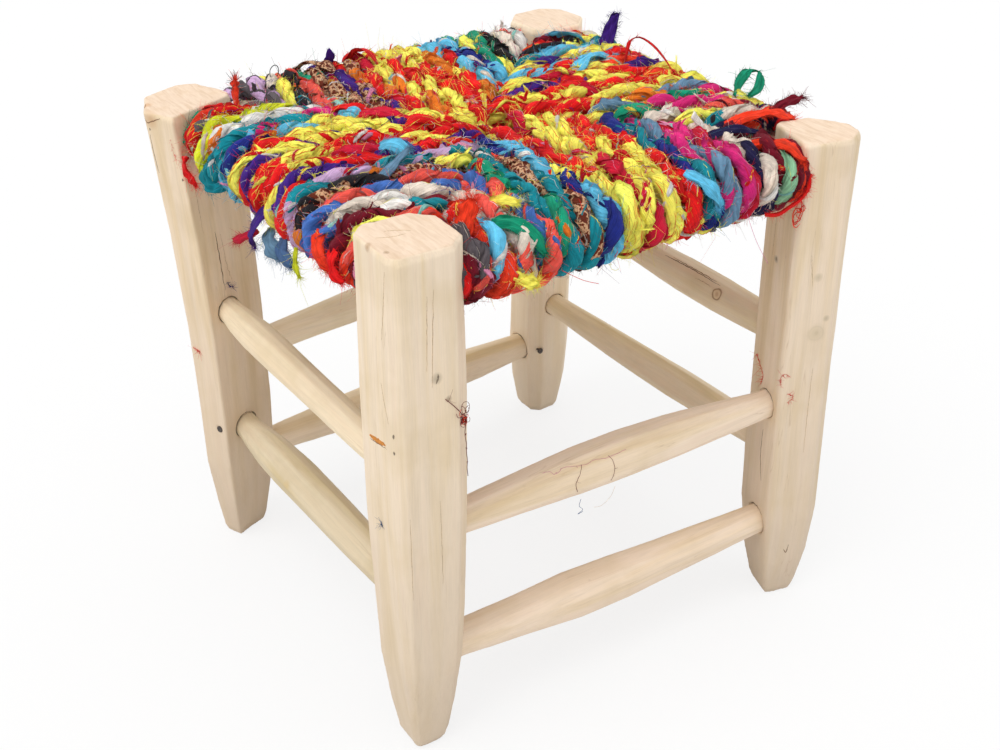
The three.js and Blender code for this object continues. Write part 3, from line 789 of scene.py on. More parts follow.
# Threads that cling to the wood, in millimetres: the piece, cloth, radius, short threads round it, then the path
CLINGING = [
    ("stretcher_front_upper", "pink", 0.14, 6,
     [(-60, -160, 197), (-52, -165, 193), (-46, -165, 195), (-31, -165, 189), (-22, -165, 190),
      (-13, -165, 186), (2, -165, 187)]),
    ("stretcher_front_upper", "maroon", 0.15, 3,
     [(-33, -163, 188), (-35, -167, 179), (-39, -168, 172), (-38, -168, 164)]),
    ("stretcher_front_upper", "maroon", 0.14, 3, [(-12, -163, 186), (-9, -167, 173), (-12, -168, 162)]),
    ("leg_front_left", "maroon", 0.24, 4,
     [(-140, -174.2, 276.5), (-137, -174.4, 273), (-133, -174.4, 268), (-128.5, -172, 261)]),
    ("leg_front_right", "red", 0.16, 60,
     [(138.5, -133.6, 195), (137, -139.3, 189.6), (135.3, -145, 184), (135.7, -143.5, 175.5)]),
    ("leg_front_right", "red", 0.14, 26,
     [(130, -168, 188), (129.5, -167, 194), (131, -169.3, 198), (135, -170.5, 195)]),
    ("leg_front_right", "red", 0.14, 20, [(134, -170.5, 182), (138.5, -172, 178.5), (134.5, -171, 174.5)]),
    ("leg_back_left", "red", 0.14, 40, [(-175, 134, 174), (-175, 129, 173), (-175, 127, 171)]),
    ("leg_front_left", "slateblue", 0.14, 26, [(-172, -146, 187.5), (-172, -147.5, 185)]),
    ("leg_back_left", "darkblue", 0.14, 44, [(-141, 114, 226), (-139, 114, 222), (-137, 114, 220)]),
]
# Threads that hang free beside the wood
HANGING = [
    ("print", 0.26, [(-127.5, -173.5, 262), (-126.4, -173, 255), (-127, -172.6, 248), (-126, -172.2, 241),
                     (-125.4, -171.2, 234), (-124.2, -170, 227), (-123.9, -169, 221), (-122.6, -167.6, 214)]),
    ("slateblue", 0.17, [(-40, -169, 164), (-42, -170, 160), (-40, -171, 157), (-43, -170, 154),
                         (-39, -170, 154.5)]),
    ("cream", 0.15, [(-12, -168, 162), (-17, -170, 157), (-25, -171, 154), (-31, -171, 155)]),
]


def tangle(tubes, centre, spread, cloths):
    """A knot of loose threads caught on the wood."""
    for name in cloths:
        turn = np.linspace(0, TAU * rng.uniform(0.5, 1.2), 26) + rng.uniform(0, TAU)
        size = spread * rng.uniform(0.3, 1.0) * (1 + 0.45 * waves(turn, 3.0))
        lean = rng.uniform(-0.5, 0.5)
        loop = np.stack([size * 0.6 * np.cos(turn), -np.abs(0.25 * size * np.sin(0.7 * turn)),
                         size * np.sin(turn + lean)], -1)
        wire(tubes, mm(centre) + loop + nprng.normal(0, 0.25 * spread, 3), rng.uniform(0.13, 0.2) * MM,
             tinted(name))


def fluff(tubes, path, out, name, count, reach):
    """A tuft of short curled threads along a path."""
    feet = path[nprng.integers(0, len(path), count)] + nprng.normal(0, 0.3 * MM, (count, 3))
    heading = unit(out + nprng.normal(0, 0.9, (count, 3)))
    threads(tubes, feet, heading, nprng.normal(0, 0.9, (count, 3)), reach * nprng.uniform(0.4, 1.2, count),
            nprng.uniform(0.08, 0.15, count) * MM, tinted(name), 4)


def build_clinging(thread):
    threads_here = Tubes()
    for name, cloth, radius, short, places in CLINGING:
        spots, normals = laid_on(name, smooth_path(mm(places), 8 * len(places)))
        laid = spots + normals * 0.8 * radius * MM
        wire(threads_here, laid, radius * MM, tinted(cloth))
        fluff(threads_here, laid, 0.6 * np.mean(normals, axis=0), cloth, short, 2.6 * MM)
    for cloth, radius, places in HANGING:
        wire(threads_here, smooth_path(mm(places), 6 * len(places)), radius * MM, tinted(cloth))
    tangle(threads_here, (-127.8, -173.2, 257.5), 3.0 * MM, ["print", "redorange", "maroon"] * 5)
    tangle(threads_here, (-128.4, -173.8, 265), 5.6 * MM, ["print", "maroon", "redorange", "print"])
    for share in (0.25, 0.5, 0.75):
        centre = (-126.8 + 4 * share, -173 + 5 * share, 257 - 42 * share)
        tangle(threads_here, centre, 0.7 * MM, ["print", "maroon"])
    threads_here.build("wood_threads", thread, "rag_rope", None)


def nearest_leg(place):
    """The leg whose middle is nearest, seen from above."""
    def distance(name):
        low, high = (np.array(corner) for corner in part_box(name))
        return np.linalg.norm((low + high)[:2] / 2 - place[:2])
    return min((name for name in SURFACES if name.startswith("leg")), key=distance)


def slice_centre(skin, middle, side_a, side_b):
    """The middle of a bar's section, from four casts onto its skin."""
    hits = []
    for out in (side_a, -side_a, side_b, -side_b):
        hit = skin.ray_cast(Vector(middle + out * CAST_REACH), Vector(-out))[0]
        hits.append(middle if hit is None else np.array(hit))
    shift_a = ((hits[0] + hits[1]) / 2 - middle).dot(side_a)
    shift_b = ((hits[2] + hits[3]) / 2 - middle).dot(side_b)
    return middle + shift_a * side_a + shift_b * side_b


def repaint(name, material):
    made = bpy.data.objects[name]
    made.data.materials.clear()
    made.data.materials.append(material)


def build_wood():
    for seed, corner in enumerate(("front_left", "front_right", "back_right", "back_left"), start=1):
        name = "leg_" + corner
        material = wood_material(name + "_wood", 2, seed, TONES_AND_PAINTED_LIGHT[name], KNOTS.get(name, ()))
        wooden(name, 2, seed, LEG_VOXEL, LEG_SCRAPES, material)
    for number, (name, along) in enumerate(BARS):
        seed, lower = 5 + number // 2, number % 2
        grain_seed = seed * 2.5 if lower else seed
        material = wood_material(name + "_wood", along, grain_seed, TONES_AND_PAINTED_LIGHT[name], KNOTS.get(name, ()))
        wooden(name, along, seed + 0.5 * lower, BAR_VOXEL, BAR_SCRAPES, material)
    rail_wood = [wood_material("rail_wood_x", 0, 20), wood_material("rail_wood_y", 1, 21)]
    for side, along in RAIL_AXES.items():
        repaint(f"seat_rail_{side}", rail_wood[along])
    steel = nail_material()
    for side in ("left", "right"):
        repaint(f"nail_back_{side}", steel)
    # Real marks, and the painted shade lines at the joints
    marks = Tubes()
    for name, rows in MARKS.items():
        for width, colour, places in rows:
            sliver(marks, name, width * MM, colour, mm(places))
    for bar, along in BARS:
        joint_shade_lines(marks, bar, along)
    material = mottled_material("wood_marks_and_joint_shade", 900, 3, [(0.3, 0.6), (0.65, 1.25)], Roughness=0.9)
    marks.build("wood_marks_and_joint_shade", material, "leg_wood", None)


# The rope's route, corner by corner: u runs along the first rail from the second rail's axis,
# v runs inwards from the first rail's axis.
def corner_place(corner, u, v):
    x, y = SPAN_X / 2, SPAN_Y / 2
    return [(u - x, v - y), (x - v, u - y), (x - u, y - v), (v - x, y - u)][corner]


def seat_route():
    """Points of the rope's middle with their radius, and which rail's turn each belongs to."""
    lay_radius = (RAIL_RADIUS + LAY_GAP + ROPE_RADIUS) / math.cos(TAU / 4 / WRAP_STEPS)
    middle_radius = (ROPE_RADIUS + SQUEEZED_RADIUS) / 2
    room_x, room_y = SPAN_X - 2 * FIRST_TURN, SPAN_Y - 2 * FIRST_TURN
    pitch = min(room_x / (2 * ROUNDS + 0.25), room_y / (2 * ROUNDS - 0.25))
    give = 0.15 * pitch
    route = []

    def last_round(turn):
        return ROUNDS - 1 + (turn % 4) * 0.25

    for turn in range(4 * ROUNDS):
        corner = turn % 4
        round_now = turn * 0.25
        along, inward = (SPAN_X, SPAN_Y) if corner % 2 == 0 else (SPAN_Y, SPAN_X)
        place = FIRST_TURN + pitch * round_now
        first_sum = last_round(turn) + last_round(turn + 1)
        second_sum = last_round(turn) + last_round(turn + 3)
        first_rail = FIRST_TURN + round_now * (along - 2 * FIRST_TURN) / (first_sum + 1)
        second_rail = FIRST_TURN + round_now * (inward - 2 * FIRST_TURN) / (second_sum + 1)
        arriving = (inward - 2 * place + 0.25 * pitch) / pitch
        leaving = (along - 2 * place - 0.25 * pitch) / pitch
        home = turn

        def add(u, v, level, radius):
            x, y = corner_place(corner, u, v)
            route.append((x, y, SEAT_HEIGHT + level * lay_radius, radius, home))

        def step(share):
            return place + share * pitch

        def wrap(add_at):
            for index in range(WRAP_STEPS + 1):
                angle = TAU / 4 + TAU / 2 * index / WRAP_STEPS
                add_at(lay_radius * math.cos(angle), math.sin(angle))

        if arriving > 4.4:
            add(place, step(1.3), 0, SQUEEZED_RADIUS)
        if arriving > 0.9:
            add(place - 0.6 * give, step(0.15), 0.26, SQUEEZED_RADIUS)
        add(place - give, step(-0.4), 0.36, SQUEEZED_RADIUS)
        add(place + 0.2 * give, step(-0.8), 0.76, middle_radius)
        add(place + 0.45 * give, step(-1.2), 1, ROPE_RADIUS)
        wrap(lambda out, level: add(first_rail, out, level, ROPE_RADIUS))
        add(place + 0.2 * give, step(-1.2), -1, ROPE_RADIUS)
        home = turn + 0.5
        add(step(0.22), step(-0.84), -0.75, middle_radius)
        add(step(0.54), step(-0.5), -0.05, SQUEEZED_RADIUS)
        add(step(0.48), step(-0.22), 0.6, SQUEEZED_RADIUS)
        add(step(0.06), place, 1, middle_radius)
        add(step(-0.9), place, 1, ROPE_RADIUS)
        wrap(lambda out, level: add(out, second_rail, level, ROPE_RADIUS))
        add(step(-1.1), place, -1, ROPE_RADIUS)
        if turn == 4 * ROUNDS - 1:
            break
        add(step(-0.6), place + 0.2 * give, -0.72, middle_radius)
        add(step(-0.1), place + 0.7 * give, -0.42, SQUEEZED_RADIUS)
        if leaving > 0.9:
            add(step(0.55), place + give, -0.1, SQUEEZED_RADIUS)
        if leaving > 1.85:
            add(step(1.3), place - 0.8 * give, 0, SQUEEZED_RADIUS)
        if leaving > 4.4:
            add(step(2.2), place, 0, SQUEEZED_RADIUS)
    return np.array(route) + (SEAT_CENTRE.x, SEAT_CENTRE.y, 0, 0, 0)


def smooth_route(route, spacing):
    """Resamples the route at even steps on a centripetal Catmull-Rom curve."""
    points = route[:, :3]
    padded = np.vstack([2 * points[0] - points[1], points, 2 * points[-1] - points[-2]])
    dense = []
    for index in range(len(points) - 1):
        p0, p1, p2, p3 = padded[index:index + 4]
        t1 = math.sqrt(np.linalg.norm(p1 - p0))
        t2 = t1 + math.sqrt(np.linalg.norm(p2 - p1))
        t3 = t2 + math.sqrt(np.linalg.norm(p3 - p2))
        count = max(2, int(np.linalg.norm(p2 - p1) / (0.5 * spacing)))
        share = (np.arange(count) / count)[:, None]
        t = t1 + (t2 - t1) * share
        a1 = (t1 - t) / t1 * p0 + t / t1 * p1
        a2 = (t2 - t) / (t2 - t1) * p1 + (t - t1) / (t2 - t1) * p2
        a3 = (t3 - t) / (t3 - t2) * p2 + (t - t2) / (t3 - t2) * p3
        b1 = (t2 - t) / t2 * a1 + t / t2 * a2
        b2 = (t3 - t) / (t3 - t1) * a2 + (t - t1) / (t3 - t1) * a3
        place = (t2 - t) / (t2 - t1) * b1 + (t - t1) / (t2 - t1) * b2
        radius = route[index, 3] * (1 - share) + route[index + 1, 3] * share
        dense.append(np.hstack([place, radius, np.full_like(share, route[index, 4])]))
    dense = np.vstack(dense)
    walked = np.concatenate([[0], np.cumsum(np.linalg.norm(np.diff(dense[:, :3], axis=0), axis=1))])
    even = np.arange(0, walked[-1], spacing)
    columns = [np.interp(even, walked, dense[:, axis]) for axis in range(4)]
    homes = dense[np.searchsorted(walked, even, side="right") - 1, 4]
    return np.column_stack(columns), homes


def carried_normals(points, tangents):
    """Normals that turn as little as the route allows."""
    normals = np.empty_like(points)
    normal = np.array([0.0, 0.0, 1.0])
    for index, tangent in enumerate(tangents):
        normal = normal - normal.dot(tangent) * tangent
        normal /= np.linalg.norm(normal)
        normals[index] = normal
    return normals


def turn_cloths(home):
    """The two cloths of the turn that a stretch of rope belongs to, and its round."""
    turn = min(int(home), 4 * ROUNDS - 1)
    corner, round_now = turn % 4, turn // 4
    # The corner's first rail begins at this corner; its second rail ends here.
    if home - turn < 0.5:
        return RAIL_TURNS[corner][round_now], round_now
    return RAIL_TURNS[(corner + 3) % 4][-1 - round_now], round_now


def pick_cloth(home, ply, stray, swap):
    """The cloth of a ply here, now and then the other ply's, or one that the round also holds."""
    pair, round_now = turn_cloths(home)
    if rng.random() < stray:
        return rng.choice(STRAY_CLOTHS[round_now])
    return pair[1 - ply if rng.random() < swap else ply]


# How much darker or lighter one strip may be than its cloth
TINTS = (0.86, 1.08)


def tinted(name):
    colour = np.array(CLOTHS[name])
    colour[:3] *= rng.uniform(*TINTS)
    return np.clip(colour, 0, 1)


# How many folds go round a strip, and how deep they are
PLEATS = ((2, 0.20), (3, 0.17), (5, 0.12), (7, 0.07))


def pleats(folded, along):
    """How far a strip's surface stands out, as a share of its radius, with creases along it."""
    shape = np.ones_like(folded)
    for folds, depth in PLEATS:
        drift = rng.uniform(0.3, 0.9) * waves(along, 16 * MM)
        wave = np.abs(np.sin(0.5 * folds * folded + rng.uniform(0, TAU) + drift[:, None]))
        shape += depth * rng.uniform(0.5, 1.1) * (wave - 0.64)
    crumple = nprng.normal(0, 1, shape.shape)
    for _ in range(2):
        crumple = crumple + np.roll(crumple, 1, 1) + np.roll(crumple, -1, 1)
        crumple = crumple + np.roll(crumple, 1, 0) + np.roll(crumple, -1, 0)
    return shape + CRUMPLE * crumple / crumple.std()


def strip_rings(centre, side_a, side_b, radius, along, twist):
    """One strip of cloth, creased and twisted, and the places on it."""
    theta = ring_angles(STRIP_SIDES)
    folded = theta[None, :] - twist * along[:, None]
    reach = radius[:, None] * pleats(folded, along)
    rings = (centre[:, None, :] + (reach * np.cos(theta))[..., None] * side_a[:, None, :]
             + (reach * np.sin(theta))[..., None] * side_b[:, None, :])
    return rings, lay_of(folded, along), folded


# How far from the rails' height and axes a place on the rope can be seen
SHOWN_ABOVE, SHOWN_BELOW, SHOWN_BESIDE = 11 * MM, 14 * MM, 6 * MM


def shown(feet, outward):
    """Which places lie on the outside of the seat and face away from it."""
    away = feet - np.array(SEAT_CENTRE)
    over = (feet[:, 2] > SEAT_HEIGHT + SHOWN_ABOVE) & (outward[:, 2] > 0.1)
    under = (feet[:, 2] < SEAT_HEIGHT - SHOWN_BELOW) & (outward[:, 2] < -0.2)
    side_x, side_y = ((np.abs(away[:, axis]) > span / 2 + SHOWN_BESIDE) & (outward[:, axis] * away[:, axis] > 0)
                      for axis, span in enumerate((SPAN_X, SPAN_Y)))
    return over | under | side_x | side_y


# Threads of these cloths are mixed into every fringe
OTHER_THREADS = ("yellow", "red", "cream", "redorange")
OTHER_SHARE = 0.12
THREADS_PER_RING, PLAIN_FRAY = 2.4, 0.8
# A strip's two torn edges, as angles round it, and the share of its threads that grow there
EDGES = (0.0, 2.6)
EDGE_SHARE = 0.7


def fringe(fuzz, rings, folded, name, colour):
    """Torn threads along a strip's edge, and a few elsewhere."""
    ring_count, sides, _ = rings.shape
    wanted = int(ring_count * THREADS_PER_RING * FRAYED.get(name, PLAIN_FRAY))
    if ring_count < 4 or wanted < 1:
        return
    ring = nprng.integers(1, ring_count - 1, wanted)
    edge = nprng.choice(EDGES, wanted)
    side = np.where(nprng.random(wanted) < EDGE_SHARE,
                    np.round((edge - folded[ring, 0]) / TAU * sides) % sides,
                    nprng.integers(0, sides, wanted)).astype(int)
    feet = rings[ring, side]
    middle = rings[ring].mean(axis=1)
    outward = unit(feet - middle)
    open_air = shown(feet, outward)
    feet, outward, ring = feet[open_air], outward[open_air], ring[open_air]
    if not len(feet):
        return
    along = unit(rings[ring + 1].mean(axis=1) - rings[ring - 1].mean(axis=1))
    count = len(feet)
    across = np.cross(along, outward) * nprng.choice([-1, 1], count)[:, None]
    direction = unit(outward * nprng.uniform(0.15, 0.9, (count, 1)) + across * nprng.uniform(0.2, 1.0, (count, 1))
                     + along * nprng.normal(0, 0.5, (count, 1)) + nprng.normal(0, 0.2, (count, 3)))
    length = nprng.gamma(2.6, 0.85 * MM, count) * np.where(nprng.random(count) < 0.05, 2.2, 1) + 0.6 * MM
    bend = nprng.normal(0, 0.6, (count, 3)) - np.array([0, 0, 0.15])
    dye = shaded(colour, nprng.uniform(0.9, 1.18, count))
    other = nprng.random(count) < OTHER_SHARE
    others = np.array([CLOTHS[key] for key in OTHER_THREADS])
    dye[other] = others[nprng.integers(0, len(others), other.sum())]
    threads(fuzz, feet - outward * 0.3 * MM, direction, bend, length,
            nprng.uniform(0.07, 0.15, count) * MM, dye)


# The yarns that lie over each cloth, and how many per ring of it
MIXED = {
    "yellow": ("red", "redorange", "red", "orange", "ochre"), "red": ("yellow", "crimson", "redorange", "yellow"),
    "crimson": ("yellow", "red", "pink"), "redorange": ("yellow", "red", "cream"),
}
MUTED = {
    "grey": ("black", "cream"), "maroon": ("red", "crimson"), "navy": ("purple", "cream"),
    "black": ("grey", "navy"), "darkblue": ("navy", "lightblue"), "purple": ("magenta", "navy"),
}
PLAIN_YARNS = ("cream", "yellow", "red", "white", "pink")
MIXED_YARNS, MUTED_YARNS = 1.05, 0.3


def mixed_yarn(fuzz, rings, name):
    """Loose yarns of another colour that lie along a strip."""
    ring_count, sides, _ = rings.shape
    steps = 4
    wanted = int(ring_count * (MIXED_YARNS if name in MIXED else MUTED_YARNS))
    if ring_count < 3 * steps or wanted < 1:
        return
    ring = nprng.integers(1, ring_count - 2 * steps, wanted)[:, None] + 2 * np.arange(steps)
    drift = nprng.integers(-1, 2, (wanted, 1)) * np.arange(steps) // 2
    side = (nprng.integers(0, sides, (wanted, 1)) + drift) % sides
    places = rings[ring, side]
    outward = unit(places - rings[ring].mean(axis=2))
    open_air = shown(places[:, 1], outward[:, 1])
    places, outward = places[open_air], outward[open_air]
    count = len(places)
    if not count:
        return
    ahead = unit(np.gradient(places, axis=1))
    paths = places + outward * 0.16 * MM + nprng.normal(0, 0.07 * MM, places.shape)
    side_a = unit(np.cross(ahead, outward))
    girth = nprng.uniform(0.1, 0.24, (count, 1)) * MM * np.array([0.5, 1.0, 1.0, 0.4])
    cloths = MIXED.get(name) or MUTED.get(name, PLAIN_YARNS)
    dye = np.array([tinted(rng.choice(cloths)) for _ in range(count)])
    fuzz.add(around(paths, side_a, outward, girth, girth, 3), dye=dye[:, None, None])


def torn_edge(tubes, centre, side_a, side_b, ahead, thick, along, twist, dye, name):
    """The raw edge of a strip, which stands off it as a low, wavy fin along its twist."""
    for edge in EDGES[:rng.choice((1, 2, 2))]:
        wind = twist * along + edge
        out = direction_at(wind, side_a, side_b)
        across = np.cross(ahead, out)
        lean = 0.9 * waves(along, 18 * MM)[:, None] + rng.choice((-0.7, 0.7))
        rise = unit(out + lean * across)
        height = np.clip(1.25 + 0.75 * waves(along, 7 * MM), 0.25, None) * MM
        height[[0, -1]] = 0.2 * MM
        spine = centre + out * (0.93 * thick)[:, None] + rise * (0.4 * height)[:, None]
        rings = around(spine, rise, unit(np.cross(ahead, rise)), height, np.full_like(height, 0.22 * MM), 6)
        lay = lay_of(np.tile(ring_angles(6), (len(along), 1)), along)
        tubes.add(rings, lay=lay, dye=np.clip(dye * 1.06, 0, 1)[:, None], printed=name == "print")


def torn_tip(tubes, fuzz, foot, direction, outward, width, length, colour, printed):
    """The ragged end of a strip that stands off the rope, a flat tongue with a fringe."""
    ring_count, sides = 7, 8
    share = np.linspace(0, 1, ring_count)
    direction, outward = unit(direction), unit(outward)
    across = unit(np.cross(direction, outward))
    curl = nprng.normal(0, 0.45, 3)
    path = foot + direction * (share * length)[:, None] + (outward * 0.3 + curl) * (share ** 2 * length)[:, None]
    wide = 0.5 * width * nprng.uniform(0.85, 1.15, ring_count)
    thick = 0.4 * MM * (1 + 0.8 * (1 - share))
    turn = share * nprng.uniform(-1.2, 1.2)
    side_a = direction_at(turn, across, outward)
    side_b = np.cross(unit(np.gradient(path, axis=0)), side_a)
    rings = around(path, side_a, side_b, wide, thick, sides)
    lay = np.stack(np.broadcast_arrays(np.cos(share * 3)[:, None], 0.5, rings[..., 2]), -1)
    tubes.add(rings, dye=colour, printed=printed, lay=lay)
    count = int(width / (0.2 * MM))
    spot = nprng.uniform(-1, 1, (count, 1))
    feet = path[-2] + side_a[-2] * spot * wide[-2]
    heading = unit(unit(path[-1] - path[-3]) + side_a[-2] * spot * 0.25 + nprng.normal(0, 0.18, (count, 3)))
    threads(fuzz, feet, heading, nprng.normal(0, 0.3, (count, 3)), nprng.uniform(1.2, 3.2, count) * MM,
            nprng.uniform(0.08, 0.15, count) * MM, np.clip(colour * 1.05, 0, 1))


# How each kind of strip is spun: its length and overlap in millimetres, the shares taken from the round's other
# cloths and from the other ply's, and the share with an end that stands off
STRIP = {"length": (18, 60), "overlap": (8, 15), "stray": 0.12, "swap": 0.12, "tips": 0.28}
INLAY = {"length": (16, 46), "overlap": (1, 6), "stray": 0.4, "swap": 0.75, "tips": 0.08}
INLAYS_LEFT_OUT = 0.35
PALE_SHARE = 0.16
PALE_CLOTHS = ("white", "cream", "white", "pink", "mint")
INLAY_SIDES = 8
# Where the rope is squeezed to less than this share of its radius, it lies out of sight
HIDDEN_BELOW = 0.72


def spin(tubes, fuzz, line, name, inlay, hidden):
    """One strip along its stretch of a ply: the ply's own cloth, or a narrow inlay wound over it."""
    centre, ahead, side_a, side_b, ply_radius, along = line
    colour = tinted(name)
    from_end = np.minimum(along - along[0], along[-1] - along) + 0.6 * MM
    taper = np.clip(from_end / (rng.uniform(5, 11) * MM), 0, 1) ** 0.5
    twist = rng.choice((-1, 1)) * TAU / (rng.uniform(26, 60) * MM)
    if inlay:
        wind = twist * 1.6 * along + rng.uniform(0, TAU)
        out = direction_at(wind, side_a, side_b)
        girth = rng.uniform(0.6, 1.5) * MM * taper * (1 + 0.3 * waves(along, 9 * MM))
        spine = centre + out * (0.88 * ply_radius)[:, None]
        rings = around(spine, out, np.cross(ahead, out), 0.8 * girth, 1.6 * girth, INLAY_SIDES)
        folded = np.tile(ring_angles(INLAY_SIDES), (len(along), 1))
        lay = lay_of(folded, along)
    else:
        thick = ply_radius * (0.6 + 0.4 * taper) * rng.uniform(0.93, 1.07)
        rings, lay, folded = strip_rings(centre, side_a, side_b, thick, along, twist)
    dye = shaded(colour, 1 + 0.10 * waves(along, 22 * MM))
    tubes.add(rings, lay=lay, dye=dye[:, None], printed=name == "print")
    fringe(fuzz, rings, folded, name, colour)
    mixed_yarn(fuzz, rings, name)
    if not inlay and not hidden:
        torn_edge(tubes, centre, side_a, side_b, ahead, thick, along, twist, dye, name)
    if rng.random() < (INLAY if inlay else STRIP)["tips"]:
        stand_off(tubes, fuzz, rings[len(along) // 6], ahead[len(along) // 6], name, colour)


def stand_off(tubes, fuzz, ring, ahead, name, colour):
    """A strip's end that comes out of the rope, where that shows."""
    middle = ring.mean(axis=0)
    level_centre = np.array((SEAT_CENTRE.x, SEAT_CENTRE.y, middle[2]))
    lift = np.array([0, 0, 1.0]) if middle[2] > SEAT_HEIGHT else middle - level_centre
    foot = middle + unit(lift) * 0.8 * np.linalg.norm(ring[0] - middle)
    if shown(foot[None], unit(lift)[None])[0]:
        heading = -ahead + unit(lift) * rng.uniform(0.1, 0.7) + nprng.normal(0, 0.4, 3)
        large = 1.7 if rng.random() < 0.2 else 1.0
        torn_tip(tubes, fuzz, foot, heading, lift, rng.uniform(2.2, 4.2) * MM * large,
                 rng.uniform(2.5, 5) * MM * large, colour, name == "print")


def build_rope(cloth, thread):
    route, homes = smooth_route(seat_route(), SAMPLE)
    points, radii = route[:, :3], route[:, 3]
    count = len(points)
    walked = np.arange(count) * SAMPLE
    full = radii / ROPE_RADIUS
    # The rope is uneven where it shows, and doesn't lie quite straight
    wander = np.stack([waves(walked, 45 * MM), waves(walked, 38 * MM), waves(walked, 30 * MM)], -1)
    points = points + wander * (WANDER * full ** 2)[:, None]
    tangents = unit(np.gradient(points, axis=0))
    normals = carried_normals(points, tangents)
    binormals = np.cross(tangents, normals)
    lay_angle = TAU * walked / LAY_LENGTH + 0.9 * waves(walked, 120 * MM)
    # One piece for each half round
    bundles = [Tubes() for _ in range(2 * ROUNDS)]
    fuzz = [Tubes() for _ in range(2 * ROUNDS)]
    for ply in range(2):
        angle = lay_angle + ply * math.pi
        offset = (PLY_OFFSET_SHARE * radii)[:, None]
        centre = points + offset * direction_at(angle, normals, binormals)
        ahead = unit(np.gradient(centre, axis=0))
        side_a = unit(normals - np.sum(normals * ahead, axis=1, keepdims=True) * ahead)
        ply_radius = PLY_RADIUS_SHARE * radii * (1 + 0.07 * waves(walked, 26 * MM) + 0.04 * waves(walked, 9 * MM))
        lines = (centre, ahead, side_a, np.cross(ahead, side_a), ply_radius, walked)
        for inlay in (False, True, True):
            kind = INLAY if inlay else STRIP
            start = 0
            while start < count - 8:
                finish = min(count, start + int(rng.uniform(*kind["length"]) * MM / SAMPLE))
                if count - finish < 10:
                    finish = count
                home = homes[(start + finish) // 2]
                begin = max(0, start - int(rng.uniform(*kind["overlap"]) * MM / SAMPLE))
                start = finish
                hidden = full[begin:finish].mean() < HIDDEN_BELOW
                if inlay and (hidden or rng.random() < INLAYS_LEFT_OUT):
                    continue
                name = pick_cloth(home, ply, kind["stray"], kind["swap"])
                if inlay and rng.random() < PALE_SHARE:
                    name = rng.choice(PALE_CLOTHS)
                bundle = min(int(home) // 2, 2 * ROUNDS - 1)
                line = [values[begin:finish:2 if hidden else 1] for values in lines]
                spin(bundles[bundle], fuzz[bundle], line, name, inlay, hidden)
    for name, pieces, material in (("rope_turns", bundles, cloth), ("rope_fringe", fuzz, thread)):
        for number, piece in enumerate(pieces, start=1):
            piece.build(f"{name}_{number}", material)


